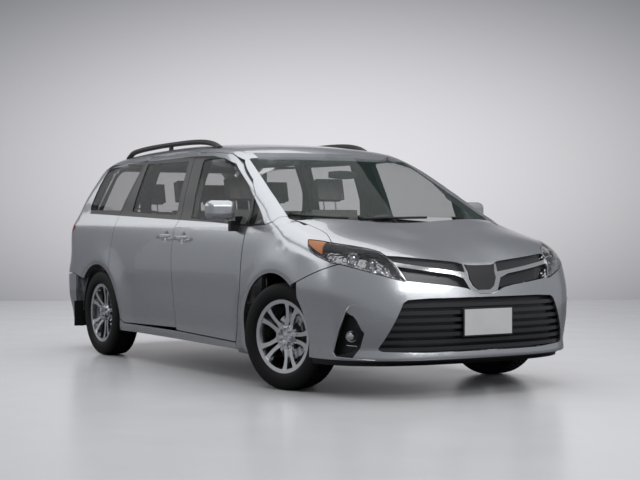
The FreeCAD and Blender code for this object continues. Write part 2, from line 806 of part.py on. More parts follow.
def nose_layer(back, wall, reach, low, high, columns=25, rows=9):
    """Solid layer of the nose's own form, moved back, between two heights."""
    grids = []
    for depth in (back, back + wall):
        grid = []
        for i in range(columns):
            y = reach * (2 * i / (columns - 1) - 1)
            heights = [low + (high - low) * j / (rows - 1) for j in range(rows)]
            grid.append([nose_place(y * FORM, z * FORM, depth * FORM) for z in heights])
        grids.append(grid)
    return closed_between(*grids)


def nose_prism(points, radius=0.0, grow=0.0):
    return prism_along(points, "x", 1.9 * FORM, 2.7 * FORM, radius, grow)


def both_sides(half):
    return half + [(-y, z) for y, z in reversed(half) if y]


grille_outline = both_sides([
    (0.050, 0.655), (0.108, 0.674), (0.150, 0.692), (0.240, 0.708), (0.414, 0.727),
    (0.572, 0.746), (0.640, 0.905), (0.560, 0.930),
])
wing_outline = both_sides([
    (0.055, 0.656), (0.109, 0.677), (0.150, 0.755), (0.223, 0.781), (0.367, 0.800),
    (0.516, 0.822), (0.640, 0.842), (0.640, 0.868), (0.551, 0.852), (0.390, 0.828),
    (0.214, 0.804), (0.132, 0.794), (0.136, 0.845),
])
badge_outline = both_sides([
    (0.046, 0.682), (0.082, 0.706), (0.106, 0.756), (0.104, 0.795), (0.122, 0.855),
])
intake_outline = both_sides([
    (0.430, 0.294), (0.720, 0.306), (0.746, 0.319), (0.608, 0.612), (0.575, 0.630),
    (0.430, 0.637),
])
slat_shares = [0.590, 0.5445, 0.499, 0.4535, 0.408, 0.3625, 0.317]
slat_half = 0.012
fog_outline = [
    (0.405, 0.540), (0.452, 0.532), (0.480, 0.497), (0.462, 0.462), (0.519, 0.432),
    (0.522, 0.412), (0.489, 0.340), (0.440, 0.300), (0.352, 0.275), (0.340, 0.295),
    (0.345, 0.345), (0.375, 0.435),
]
grille_room = nose_prism(grille_outline, 0.006 * FORM)
intake_room = nose_prism(intake_outline, 0.012 * FORM)


def fog_prism(grow):
    base = lamp_way * (1.2 * FORM)
    spots = [base + lamp_side * (a * FORM) + Vector(0, 0, b * FORM) for a, b in fog_outline]
    return outline_face(spots, 0.012 * FORM, grow).extrude(lamp_way * (1.8 * FORM))


bumper_side = [
    (1.7595, 0.707), (2.1905, 0.851), (2.30, 0.880), (2.70, 0.880), (2.70, 0.246),
    (1.60, 0.246), (1.7595, 0.30),
]
bumper_room = prism_along(bumper_side, "y", -1.2 * FORM, 1.2 * FORM, 0.0, -half_gap)
front_bumper = nose_skin.common(bumper_room)
fog_room = fog_prism(0)
bumper_tools = [grille_room, intake_room, hood_front_room]
bumper_tools += [front_wheel_room, mirrored(front_wheel_room), fog_room, mirrored(fog_room)]
for tool in bumper_tools + lamp_rooms:
    front_bumper = front_bumper.cut(tool)
front_bumper = largest(front_bumper)

# Upper grille: a black plate, chrome wings and a plain housing for a badge
grille_low, grille_high, grille_reach = 0.64, 0.905, 0.645
wing_back, plate_back, grille_wall = 0.018, 0.062, 0.008
seat_share = size.seat_gap / FORM
upper_plate = nose_layer(plate_back, grille_wall, grille_reach, grille_low, grille_high)
upper_plate = upper_plate.common(nose_prism(grille_outline, 0.0, 0.004 * FORM))
upper_plate = upper_plate.common(under_hood).cut(lamp_rooms)
upper_stays = []
for side in (-1, 1):
    low, high = sorted((0.28 * side, 0.32 * side))
    upper_stays.append(box(2.3303, 2.422, low, high, 0.765, 0.785))
upper_plate = upper_plate.fuse(upper_stays)
wing_deep = plate_back - wing_back - seat_share
wings = nose_layer(wing_back, wing_deep, grille_reach, grille_low, grille_high)
badge_room = nose_prism(badge_outline, 0.006 * FORM)
wings = wings.common(nose_prism(wing_outline, 0.0, -size.seat_gap)).cut(badge_room)
wings = wings.common(nose_prism(grille_outline, 0.006 * FORM, -size.seat_gap))
wings = largest(wings.common(under_hood).cut(lamp_rooms))
badge_back = 0.012
badge_deep = plate_back - badge_back - seat_share
badge = nose_layer(badge_back, badge_deep, 0.20, grille_low, grille_high)
badge = badge.common(nose_prism(badge_outline, 0.006 * FORM, -size.seat_gap))
badge = badge.common(under_hood)

# Lower grille: a dark plate with level slats and a seat for the number plate
slat_back, lower_back = 0.022, 0.058
lower_plate = nose_layer(lower_back, grille_wall, 0.78, 0.27, 0.66)
lower_plate = lower_plate.common(nose_prism(intake_outline, 0.0, 0.004 * FORM))
lower_parts = [lower_plate]
for height in slat_shares:
    slat = nose_layer(slat_back, lower_back - slat_back + grille_wall / 2, 0.78,
                      height - slat_half, height + slat_half, 25, 3)
    lower_parts.append(slat.common(nose_prism(intake_outline, 0.0, -0.001 * FORM)))
for side in (-1, 1):
    low, high = sorted((0.17 * side, 0.23 * side))
    lower_parts.append(box(2.3603, 2.482, low, high, 0.39, 0.42))
plate_seat = box(2.485, 2.5392, -0.12, 0.12, 0.42, 0.54)
lower_grille = join(lower_parts + [plate_seat])

# Bezels round the fog lamps, and the black valance under the bumper
fog_depth = 0.060 * FORM
behind_skin = size.skin_wall + size.seat_gap
fog_bowl = slab(nose_patch, size.bowl_wall, fog_depth).common(fog_prism(0.004 * FORM))
fog_sides = slab(nose_patch, fog_depth - size.skin_wall, behind_skin)
fog_sides = fog_sides.common(ring_prism(fog_prism, 0.004 * FORM, 0.0))
fog_bezel = largest(fog_bowl.fuse(fog_sides))
fog_back = slab(nose_patch, 0.20 * FORM, fog_depth - size.seat_gap)
fog_face = Vector(math.cos(math.radians(25)), -math.sin(math.radians(25)), 0)
fog_mouth = Vector(2.2456 * FORM, -0.849 * FORM, 0.397 * FORM)
fog_long = 0.12 * FORM
fog_lamp = Part.makeCylinder(0.040 * FORM, fog_long, fog_mouth - fog_face * fog_long, fog_face)
fog_lamp = max(fog_lamp.cut(fog_back).Solids, key=lambda solid: solid.CenterOfMass.x)
valance = slab(nose_patch, 0.010 * FORM, behind_skin).common(box(1.2, 2.7, -1.1, 1.1, 0.203, 0.268))
valance = largest(valance.cut([front_wheel_room, mirrored(front_wheel_room)]))

# Rear bumper, liftgate and lamps
rear_bumper_side = [
    (-1.8245, 0.555), (-1.8245, 0.20), (-2.70, 0.20), (-2.70, 0.675), (-1.86, 0.675),
]
rear_bumper = tail_skin.common(
    prism_along(rear_bumper_side, "y", -1.2 * FORM, 1.2 * FORM, 0.0, -half_gap)
)
rear_bumper = rear_bumper.cut([
    gate_room, rear_wheel_room, mirrored(rear_wheel_room),
])
gate_core = prism_along(gate_outline, "x", -3 * FORM, -1.9 * FORM, 0.02 * FORM, -half_gap)
gate_window = prism_along(gate_glass_outline, "x", -3 * FORM, -1.5 * FORM, 0.05 * FORM)
gate_pane_core = prism_along(
    gate_glass_outline, "x", -3 * FORM, -1.5 * FORM, 0.05 * FORM, tight
)
rebate = 0.012 * FORM
gate_inset = prism_along(
    gate_outline, "x", -3 * FORM, -1.9 * FORM, 0.02 * FORM, -half_gap - rebate
)
gate_frame = slab(gate_patch, size.pillar_wall - size.skin_wall / 2, size.skin_wall / 2)
liftgate = gate_frame.common(gate_inset).fuse(gate_skin.common(gate_core)).cut(gate_window)
gate_swing = prism_along(
    gate_outline, "x", -3 * FORM, -1.9 * FORM, 0.02 * FORM, half_gap + rebate
).common(slab(rear_side_patch, size.pillar_wall, size.skin_wall))
gate_pane = gate_glass.common(gate_pane_core)
tail_lamp_outline = [
    (-2.10, 1.085), (-2.28, 0.985), (-2.62, 0.960), (-2.62, 1.165), (-2.42, 1.165),
]
tail_lamp_room = side_prism(tail_lamp_outline, 0.01 * FORM, half_gap)
tail_lamp = rear_side_skin.common(side_prism(tail_lamp_outline, 0.01 * FORM, -half_gap))
tail_lamp = tail_lamp.cut(gate_room).cut(gate_swing)
quarter = quarter.cut(tail_lamp_room).cut(gate_swing)
quarter = max(quarter.Solids, key=lambda solid: solid.Volume)

# Roof between its rails
roof_outline = [
    (0.560, 0.0), (0.540, 0.40), (0.500, 0.655), (0.20, 0.690), (-0.50, 0.697),
    (-1.50, 0.690), (-1.952, 0.645), (-1.952, 0.0), (-1.952, -0.645), (-1.50, -0.690),
    (-0.50, -0.697), (0.20, -0.690), (0.500, -0.655), (0.540, -0.40),
]
roof_core = prism_along(roof_outline, "z", 1.3 * FORM, 2.0 * FORM, 0.0, -half_gap)
roof_room = prism_along(roof_outline, "z", 1.3 * FORM, 2.0 * FORM, 0.0, half_gap)
roof_panel = roof_skin.common(roof_core)
front_door = front_door.cut(roof_room)
sliding_door = sliding_door.cut(roof_room)
for tool in (roof_room, glass_room, hood_room, gate_room):
    rail = rail.cut(tool)
rail = max(rail.Solids, key=lambda solid: solid.Volume)
rail = rail.cut(box(0.90, 1.40, -1.2, -0.5, 0.80, 1.088))
rail = max(rail.Solids, key=lambda solid: solid.Volume)


# Spoiler along the top of the liftgate, with its hinge arms
gate_hinge = (-1.945, 1.666)
spoiler_shares = [(-1.9625, 0.046), (-2.02, 0.085), (-2.08, 0.115), (-2.150, 0.110), (-2.175, 0.020)]
spoiler_top = []
spoiler_low = []
for x_share, depth in spoiler_shares:
    x = x_share * FORM
    top_line = []
    low_line = []
    for k in range(-6, 7):
        y = 0.585 * FORM * k / 6
        z = roof_height(-1.9625 * FORM, y) + (x_share + 1.9625) * FORM * 0.17
        top_line.append(Vector(x, y, z))
        low_line.append(Vector(x, y, z - depth * FORM))
    spoiler_top.append(top_line)
    spoiler_low.append(low_line)


spoiler = closed_between(spoiler_top, spoiler_low).cut(gate_window)
gate_top = liftgate.fuse(spoiler)
hinge_notches = []
hinge_arms = []
for side in (-1, 1):
    y0 = 0.18 * side
    y1 = 0.24 * side
    low, high = min(y0, y1), max(y0, y1)
    hinge_notches.append(box(-2.0, -1.925, low, high, 1.5, 1.8))
    slack = size.seat_gap / FORM
    hinge_arms.append(tube((gate_hinge[0], low + slack, gate_hinge[1]),
                           (gate_hinge[0], high - slack, gate_hinge[1]), 0.006))
    hinge_arms.append(box(-1.985, gate_hinge[0], low + 0.012, high - 0.012, 1.658, 1.668))
liftgate = gate_top.fuse(hinge_arms)
roof_panel = roof_panel.cut(hinge_notches)

# Hood hinge: each arm dips below the edge of the screen, so the hood can swing up
hood_hinge = (1.36, 1.065)
arm_half, pin_half = 0.009, 0.010
arm_path = [hood_hinge, (1.405, 0.964), (1.600, 0.964), (1.600, 1.104)]
arms = []
for side in (-1, 1):
    low, high = sorted((0.66 * side, 0.72 * side))
    pin_ends = [(hood_hinge[0], y, hood_hinge[1]) for y in (low, high)]
    arms.append(tube(*pin_ends, pin_half))
    for start, end in zip(arm_path, arm_path[1:]):
        along = Vector(end[0] - start[0], 0, end[1] - start[1])
        along.normalize()
        over = Vector(-along.z, 0, along.x) * (arm_half * FORM)
        first = Vector(start[0] * FORM, (low + 0.015) * FORM, start[1] * FORM)
        last = Vector(end[0] * FORM, (low + 0.015) * FORM, end[1] * FORM) + along * (arm_half * FORM)
        run = Part.makePolygon([first - over, last - over, last + over, first + over, first - over])
        arms.append(Part.Face(run).extrude(Vector(0, (high - low - 0.030) * FORM, 0)))
thin_edge = slab(hood_patch, 0.040 * FORM, 0.005 * FORM)
for low, high in ((-0.90, -0.70), (0.70, 0.90)):
    hood = hood.cut(thin_edge.common(box(1.40, 1.560, low, high, 0.9, 1.3)))
hood = hood.fuse(arms)

# Front door hinge: a pin held by the body, in a notch of the door
door_hinge = (0.965, -0.972)
notches = []
pins = []
for z in (0.50, 0.80):
    notches.append(box(0.940, 1.20, -0.984, -0.70, z, z + 0.06))
    slack = size.seat_gap / FORM
    pin = tube((door_hinge[0], door_hinge[1], z + slack),
               (door_hinge[0], door_hinge[1], z + 0.06 - slack), 0.007)
    pins.append(pin)
    pins.append(box(0.958, 0.972, -0.972, -0.815, z + 0.012, z + 0.048))
front_door = front_door.cut(notches)
hinge_pillar = box(0.930, 1.035, -0.822, -0.7853, 0.285, 1.05)
hinge_post = join([hinge_pillar] + pins)


# Pillars between the doors and behind them, from sill to roof
pillar_outer = [
    (-0.845, 0.3103), (-0.862, 0.45), (-0.875, 0.60), (-0.875, 0.85), (-0.848, 1.05),
    (-0.822, 1.14), (-0.820, 1.30), (-0.772, 1.45), (-0.700, 1.60), (-0.674, 1.665),
]
pillar_inner = [
    (-0.640, 1.665), (-0.660, 1.60), (-0.715, 1.45), (-0.760, 1.30), (-0.765, 1.14),
    (-0.775, 0.60), (-0.765, 0.3103),
]


def pillar(x0, x1):
    solid = prism_along(pillar_outer + pillar_inner, "x", x0 * FORM, x1 * FORM)
    lowered = roof_panel.copy()
    lowered.translate(Vector(0, 0, -2 * size.seat_gap))
    return solid.cut(lowered)


middle_pillar = pillar(-0.135, -0.025)
rear_pillar = pillar(-1.02, -0.93)
pillar_room = side_prism(sliding_outline, 0.0, 0.0)

# Wheel house of the rear wheel, open below and outside
house = wheel_cylinder(rear_axle_x, size.liner_radius + size.liner_wall, -0.95 * FORM, -0.695 * FORM)
house = house.cut(wheel_cylinder(rear_axle_x, size.liner_radius, -1.0 * FORM, -0.701 * FORM))
house = house.cut(box(-2.6, -0.9, -1.0, -0.5, -0.2, 0.36))
house = house.cut(rear_side_skin)
house = house.cut(side_door)
house = max(house.Solids, key=lambda solid: solid.Volume)
side_parts = [sill, quarter, rail, hinge_post, middle_pillar, rear_pillar, house]
body_side = Part.makeCompound([solid for item in side_parts for solid in item.Solids])

# Floor, bulkhead and front frame
fa = front_axle / FORM
ra = rear_axle_x / FORM
floor_parts = [
    box(-1.02, 1.065, -0.785, 0.785, 0.255, 0.310),
    box(1.05, 1.13, -0.655, 0.655, 0.255, 0.310),
    box(-2.36, -1.01, -0.6947, 0.6947, 0.320, 0.375),
    box(-1.03, -0.98, -0.690, 0.690, 0.255, 0.375),
    box(1.10, 1.13, -0.655, 0.655, 0.255, 1.045),
    box(1.04, 1.33, -0.750, 0.750, 1.015, 1.045),
]
for side in (-1, 1):
    low, high = sorted((0.46 * side, 0.52 * side))
    floor_parts.append(box(1.10, 2.36, low, high, 0.40, 0.50))
    low, high = sorted((0.64 * side, 0.655 * side))
    floor_parts.append(box(1.04, 1.13, low, high, 0.255, 1.045))
    low, high = sorted((0.64 * side, 0.785 * side))
    floor_parts.append(box(1.04, 1.065, low, high, 0.255, 1.045))
    low, high = sorted((0.70 * side, 0.7497 * side))
    floor_parts.append(box(1.05, 2.00, low, high, 0.88, 0.94))
    low, high = sorted((0.60 * side, 0.74 * side))
    floor_parts.append(box(fa - 0.0925, fa + 0.1075, low, high, 0.775, 0.94))
    low, high = sorted((0.50 * side, 0.72 * side))
    floor_parts.append(box(1.96, 2.02, low, high, 0.44, 0.94))
    low, high = sorted((0.7203 * side, 0.745 * side))
    floor_parts.append(box(1.325, 1.395, low, high, 0.93, 1.085))
    low, high = sorted((0.78 * side, 0.90 * side))
    floor_parts.append(box(-0.98, 0.90, low, high, 0.255, 0.272))
floor_parts.append(box(2.30, 2.36, -0.62, 0.62, 0.38, 0.44))
for side in (-1, 1):
    low, high = sorted((0.55 * side, 0.61 * side))
    floor_parts.append(box(2.30, 2.36, low, high, 0.24, 0.39))
floor_parts.append(box(2.27, 2.33, -0.60, -0.52, 0.38, 0.80))
floor_parts.append(box(2.27, 2.33, 0.52, 0.60, 0.38, 0.80))
floor_parts.append(box(2.27, 2.33, -0.60, 0.60, 0.76, 0.80))
floor_pan = join(floor_parts)
sill_shift = []
for shape, step in ((sill, 1), (mirrored(sill), -1)):
    grown = shape.copy()
    grown.translate(Vector(0, step * 2 * size.seat_gap, 0))
    sill_shift.append(grown)
floor_pan = floor_pan.cut(sill_shift)

# Stays that carry the fixed panels on the frame
fender_stay = box(1.24, 1.36, -0.977, -0.75, 0.895, 0.925)
fender = fender.fuse(fender_stay)
bumper_stays = []
for side in (-1, 1):
    low, high = sorted((0.55 * side, 0.61 * side))
    bumper_stays.append(box(2.3603, 2.452, low, high, 0.272, 0.288))
front_bumper = front_bumper.fuse(bumper_stays)
rear_stays = []
for side in (-1, 1):
    low, high = sorted((0.40 * side, 0.46 * side))
    rear_stays.append(box(-2.53, -2.3603, low, high, 0.330, 0.365))
rear_bumper = rear_bumper.fuse(rear_stays)
lamp_tab = lamp_skin.common(lamp_prism(half_gap - size.seat_gap))
lamp_tab = lamp_tab.common(box(2.27, 2.32, -1.0, -0.60, 0.70, 0.88))
lamp = lamp.fuse(lamp_tab)
tail_tab = rear_side_skin.common(
    side_prism(tail_lamp_outline, 0.01 * FORM, half_gap - size.seat_gap)
)
tail_tab = tail_tab.common(box(-2.44, -2.38, -1.0, -0.60, 0.90, 1.02))
tail_lamp = tail_lamp.fuse(tail_tab.cut(gate_room))

# Seats, dashboard and hidden machinery
def seat(x, y, width, floor, depth=0.50, back=0.62):
    parts = [
        box(x, x + depth, y - width / 2, y + width / 2, floor + 0.20, floor + 0.36, 0.03),
        box(x - 0.10, x + 0.04, y - width / 2, y + width / 2, floor + 0.24, floor + 0.36 + back, 0.03),
        box(x - 0.09, x - 0.01, y - 0.14, y + 0.14, floor + 0.40 + back, floor + 0.58 + back, 0.02),
    ]
    parts[1].rotate(Vector(x * FORM, 0, (floor + 0.36) * FORM), Vector(0, 1, 0), -12)
    parts[2].rotate(Vector(x * FORM, 0, (floor + 0.36) * FORM), Vector(0, 1, 0), -12)
    legs = box(x + 0.05, x + depth - 0.08, y - 0.15, y + 0.15, floor + slack, floor + 0.22)
    neck = box(x - 0.06, x - 0.03, y - 0.07, y + 0.07, floor + 0.33 + back, floor + 0.45 + back)
    neck.rotate(Vector(x * FORM, 0, (floor + 0.36) * FORM), Vector(0, 1, 0), -12)
    rest = join([parts[1], parts[2], neck])
    room = rest.copy()
    room.translate(Vector(slack * FORM, 0, 0))
    base = join([parts[0], legs]).cut([rest, room])
    base = max(base.Solids, key=lambda solid: solid.Volume)
    return Part.makeCompound([base, rest])


front_seats = Part.makeCompound([seat(0.15, side * 0.40, 0.52, 0.310) for side in (-1, 1)])
rear_seats = Part.makeCompound(
    [seat(-0.75, side * 0.40, 0.50, 0.310) for side in (-1, 1)]
    + [seat(-1.70, side * 0.33, 0.62, 0.375, 0.46, 0.55) for side in (-1, 1)]
)
dash = box(0.86, 1.0397, -0.77, 0.77, 0.72, 1.02, 0.03)
dash = dash.fuse(box(0.90, 1.0997, -0.60, 0.60, 0.74, 1.00))
column = tube((0.90, 0.40, 0.90), (0.675, 0.40, 0.99), 0.030)
rim_ring = Part.makeTorus(0.185 * FORM, 0.016 * FORM)
rim_ring.rotate(Vector(0, 0, 0), Vector(0, 1, 0), -68)
rim_ring.translate(Vector(0.68 * FORM, 0.40 * FORM, 0.99 * FORM))
bar = box(0.672, 0.690, 0.22, 0.58, 0.975, 1.005)
dashboard = join([dash, column, rim_ring, bar])
engine = box(1.30, 2.02, -0.42, 0.42, 0.41, 0.86, 0.04)
engine_mounts = [box(1.50, 1.70, -0.4597, 0.4597, 0.46, 0.49)]
engine = join([engine] + engine_mounts)

# Wheels, upright and straight, for the front right; the outside is towards the right
def ring_of(points):
    """Solid turned about the wheel's axle from rows of radius and place across."""
    spots = [Vector(radius, across, 0) for radius, across in points]
    face = Part.Face(Part.makePolygon(spots + [spots[0]]))
    return face.revolve(Vector(0, 0, 0), Vector(0, 1, 0), 360)


half_tyre = size.tyre_width / 2
tread = size.tyre_diameter / 2
bead = size.rim_diameter / 2
tyre_shares = [
    (0.0, 0.68), (0.125, 0.685), (0.28, 0.86), (0.55, 0.98), (0.72, 0.99), (0.88, 0.93), (0.97, 0.82),
    (1.0, 0.62),
]
inner_shares = [(0.90, 0.60), (0.80, 0.80), (0.55, 0.86), (0.28, 0.74), (0.125, 0.58), (0.0, 0.58)]
tyre_run = [(bead + size.seat_gap + (tread - bead) * a, -half_tyre * b) for a, b in tyre_shares]
inner_run = [(bead + size.seat_gap + (tread - bead) * a, -half_tyre * b) for a, b in inner_shares]
tyre_half = tyre_run + inner_run
outer_side = tyre_run + [(r, -y) for r, y in reversed(tyre_run)]
inner_side = [(r, -y) for r, y in reversed(inner_run)] + inner_run
tyre = ring_of(outer_side + inner_side)
rim_profile = [
    (bead - size.rim_wall, -0.086 * FORM), (bead + size.rim_flange, -0.090 * FORM),
    (bead + size.rim_flange, -0.084 * FORM), (bead, -0.0803 * FORM), (bead, 0.0803 * FORM),
    (bead + size.rim_flange, 0.084 * FORM), (bead + size.rim_flange, 0.090 * FORM),
    (bead - size.rim_wall, 0.086 * FORM),
]
disc_front = 0.005 * FORM
hub_profile = [
    (0, -0.055 * FORM), (size.cap_radius, -0.055 * FORM), (size.hub_radius, -0.049 * FORM),
    (size.hub_radius, disc_front), (size.disc_radius, disc_front),
    (size.disc_radius, disc_front + size.disc_thickness), (0, disc_front + size.disc_thickness),
]
dish_profile = [
    (0.062 * FORM, -0.100 * FORM), (0.062 * FORM, -0.056 * FORM), (0.090 * FORM, -0.0575 * FORM),
    (bead - size.rim_wall, -0.079 * FORM), (bead - size.rim_wall, -0.100 * FORM),
]
spoke_shares = [
    (0.050, 34.0), (0.084, 29.0), (0.110, 19.5), (0.150, 15.5), (0.190, 15.8), (0.2225, 18.0),
    (0.2225, 7.6), (0.150, 5.4), (0.086, 4.6), (0.050, 4.6),
]
spoke_root = 0.041 * FORM
spoke_count = 5


# The alloy wheel: a hub with its brake disc, five pairs of dished spokes and the barrel
def sketch_on(body, role, name, points_lists, offset=0.0):
    """Sketch of closed runs of points on one of a body's own planes."""
    drawn = body.newObject("Sketcher::SketchObject", name)
    plane = next(item for item in body.Origin.OriginFeatures if item.Role == role)
    drawn.AttachmentSupport = [(plane, "")]
    drawn.MapMode = "FlatFace"
    drawn.AttachmentOffset = FreeCAD.Placement(Vector(0, 0, offset), FreeCAD.Rotation())
    for points in points_lists:
        for first, last in zip(points, points[1:] + points[:1]):
            drawn.addGeometry(Part.LineSegment(Vector(*first, 0), Vector(*last, 0)))
    return drawn


def turned_feature(body, kind, name, points):
    drawn = sketch_on(body, "XY_Plane", name + "_profile", [points])
    feature = body.newObject(kind, name)
    feature.Profile = drawn
    feature.ReferenceAxis = (drawn, ["V_Axis"])
    feature.Angle = 360
    body.Tip = feature
    return feature


def ring_of_features(body, feature, drawn, name):
    pattern = body.newObject("PartDesign::PolarPattern", name)
    pattern.Originals = [feature]
    pattern.Axis = (drawn, ["N_Axis"])
    pattern.Angle = 360
    pattern.Occurrences = spoke_count
    body.Tip = pattern
    return pattern


def polar(radius, degrees):
    turn = math.radians(degrees)
    return (radius * FORM * math.cos(turn), radius * FORM * math.sin(turn))


wheel_body = doc.addObject("PartDesign::Body", "alloy_wheel")
turned_feature(wheel_body, "PartDesign::Revolution", "hub", hub_profile)
spoke_pair = [
    [polar(radius, degrees) for radius, degrees in spoke_shares],
    [polar(radius, -degrees) for radius, degrees in spoke_shares],
]
spoke_sketch = sketch_on(wheel_body, "XZ_Plane", "spoke_outline", spoke_pair, spoke_root)
spokes = wheel_body.newObject("PartDesign::Pad", "spokes")
spokes.Profile = spoke_sketch
spokes.setExpression("Length", "Sizes.spoke_thickness")
wheel_body.Tip = spokes
ring_of_features(wheel_body, spokes, spoke_sketch, "spoke_ring")
turned_feature(wheel_body, "PartDesign::Groove", "dish", dish_profile)
turned_feature(wheel_body, "PartDesign::Revolution", "barrel", rim_profile)
lug_sketch = sketch_on(wheel_body, "XZ_Plane", "lug_outline", [], 0.060 * FORM)
lug_place = Vector(size.lug_circle / 2, 0, 0)
lug_sketch.addGeometry(Part.Circle(lug_place, Vector(0, 0, 1), size.lug_hole))
lugs = wheel_body.newObject("PartDesign::Pocket", "lug_holes")
lugs.Profile = lug_sketch
lugs.setExpression("Length", "Sizes.lug_depth")
wheel_body.Tip = lugs
ring_of_features(wheel_body, lugs, lug_sketch, "lug_ring")
doc.recompute()
rim = wheel_body.Shape.copy()

# The kingpin leans in at its top; everything on it is built straight, then steered
kingpin_ground = wheel_side - 0.015 * FORM
lean = math.radians(size.kingpin_lean)
hub_face = 0.005 * FORM + size.disc_thickness


def kingpin_way(side):
    return Vector(0, -side * math.sin(lean), math.cos(lean))


def on_kingpin(side, height):
    way = kingpin_way(side)
    return Vector(front_axle, side * kingpin_ground, 0) + way * (height / way.z)


def pin_along(side, low, high, radius):
    start = on_kingpin(side, low)
    way = on_kingpin(side, high) - start
    return Part.makeCylinder(radius, way.Length, start, way)


def hub_to_wheel(side):
    turned = FreeCAD.Rotation(kingpin_way(side), size.steer_at_rest)
    spin = turned.multVec(Vector(0, 1, 0))
    centre = Vector(front_axle, side * wheel_side, axle_height)
    base = on_kingpin(side, axle_height)
    moved = base + turned.multVec(centre - base)
    flat = 0.62 * half_tyre * 0
    low = moved.z - tread * math.sqrt(1 - spin.z**2) - flat * abs(spin.z)
    return -low / kingpin_way(side).z


def steered(shape, side, placed=False):
    """Move a piece made at the wheel's centre to its place, steered as it stands."""
    moved = shape.copy()
    if not placed:
        moved = mirrored(shape) if side > 0 else shape.copy()
        moved.translate(Vector(front_axle, side * wheel_side, axle_height))
    moved.rotate(on_kingpin(side, axle_height), kingpin_way(side), size.steer_at_rest)
    moved.translate(kingpin_way(side) * hub_to_wheel(side))
    return moved


def knuckle_for(side):
    stub = wheel_side - hub_face - size.seat_gap
    start = Vector(front_axle, side * 0.757 * FORM, axle_height)
    hub = Part.makeCylinder(0.045 * FORM, stub - 0.757 * FORM, start, Vector(0, side, 0))
    parts = [
        hub,
        pin_along(side, 0.262 * FORM, 0.50 * FORM, 0.022 * FORM),
        pin_along(side, 0.48 * FORM, 0.7685 * FORM, 0.026 * FORM),
        tube((fa, side * 0.777, 0.34), (fa - 0.13, side * 0.757, 0.33), 0.014),
    ]
    return steered(join(parts), side, True)


def rear(shape, side):
    moved = mirrored(shape) if side > 0 else shape.copy()
    moved.translate(Vector(rear_axle_x, side * wheel_side, axle_height))
    return moved


# Running gear
sub_parts = [
    box(fa - 0.2225, fa + 0.1475, -0.45, 0.45, 0.24, 0.30),
    box(fa - 0.0525, fa + 0.0475, -0.53, 0.53, 0.30, 0.3997),
]
for side in (-1, 1):
    low, high = sorted((0.40 * side, 0.797 * side))
    sub_parts.append(box(fa - 0.03, fa + 0.03, low, high, 0.225, 0.244))
    sub_parts.append(pin_along(side, 0.235 * FORM, 0.255 * FORM, 0.020 * FORM))
subframe = join(sub_parts)
beam_parts = [tube((ra + 0.0475, -0.72, 0.262), (ra + 0.0475, 0.72, 0.262), 0.036)]
for side in (-1, 1):
    low, high = sorted((0.706 * side, 0.736 * side))
    beam_parts.append(box(ra - 0.0825, -0.90, low, high, 0.225, 0.2547))
    beam_parts.append(box(ra - 0.0425, ra + 0.0425, low, high, 0.225, 0.40))
    inner = wheel_side - hub_face - size.seat_gap
    start = Vector(rear_axle_x, side * 0.71 * FORM, axle_height)
    beam_parts.append(Part.makeCylinder(0.045 * FORM, inner - 0.71 * FORM, start, Vector(0, side, 0)))
rear_axle = join(beam_parts)
tank = box(-0.70, 0.05, -0.45, 0.45, 0.17, 0.2547, 0.03)
pipe = tube((-2.30, 0.50, 0.255), (-1.62, 0.50, 0.255), 0.030)
muffler = box(-2.25, -1.70, 0.40, 0.62, 0.20, 0.3197, 0.03)
exhaust = join([pipe, muffler])
flap_parts = []
for side in (-1, 1):
    low, high = sorted((0.79 * side, 1.02 * side))
    flap_parts.append(box(1.045, 1.053, low, high, 0.20, 0.42))
    flap_parts.append(box(-1.985, -1.977, low, high, 0.22, 0.44))
inner_side_skins = [fender_skin.copy(), tail_skin.copy(), mirrored(fender_skin), tail_skin.copy()]
for k, shape in enumerate(inner_side_skins):
    shape.translate(Vector(0, 2 * size.seat_gap * (1 if k < 2 else -1), 0))
flaps = []
for k, flap in enumerate(flap_parts):
    flap = flap.cut(inner_side_skins[k])
    flaps.append(max(flap.Solids, key=lambda solid: solid.Volume))
mud_flaps = Part.makeCompound(flaps)
plate = box(2.5395, 2.5435, -0.19, 0.19, 0.396, 0.561)
cowl = box(1.27, 1.53, -0.65, 0.65, 1.0453, 1.075)
mirror = box(0.875, 0.985, -1.205, -0.985, 1.135, 1.272, 0.048)
mirror_arm = box(0.91, 0.95, -1.02, -0.90, 1.055, 1.16)
side_out = side_skin.copy()
side_out.translate(Vector(0, -2 * size.seat_gap, 0))
mirror = join([mirror, mirror_arm]).cut(side_out)
mirror = max(mirror.Solids, key=lambda solid: solid.Volume)
rail_path_shares = [
    (-1.625, 1.672), (-1.600, 1.690), (-1.560, 1.712), (-1.450, 1.735), (-1.0, 1.757),
    (-0.60, 1.762), (-0.25, 1.758), (-0.05, 1.739), (0.060, 1.712), (0.110, 1.692),
]
rail_side = 0.66
rail_half_wide, rail_half_high = 0.015, 0.012
rail_top = smooth(rail_path_shares)


def rail_section(x, side):
    step = 0.001 * FORM
    along = Vector(2 * step, 0, rail_top(x + step) - rail_top(x - step))
    along.normalize()
    middle = Vector(x, side * rail_side * FORM, rail_top(x))
    ring = Part.Ellipse()
    ring.MajorRadius = rail_half_wide * FORM
    ring.MinorRadius = rail_half_high * FORM
    wire = Part.Wire(ring.toShape())
    wire.Placement = FreeCAD.Placement(
        middle, FreeCAD.Rotation(Vector(0, 1, 0), Vector(-along.z, 0, along.x), along, "ZXY")
    )
    return wire


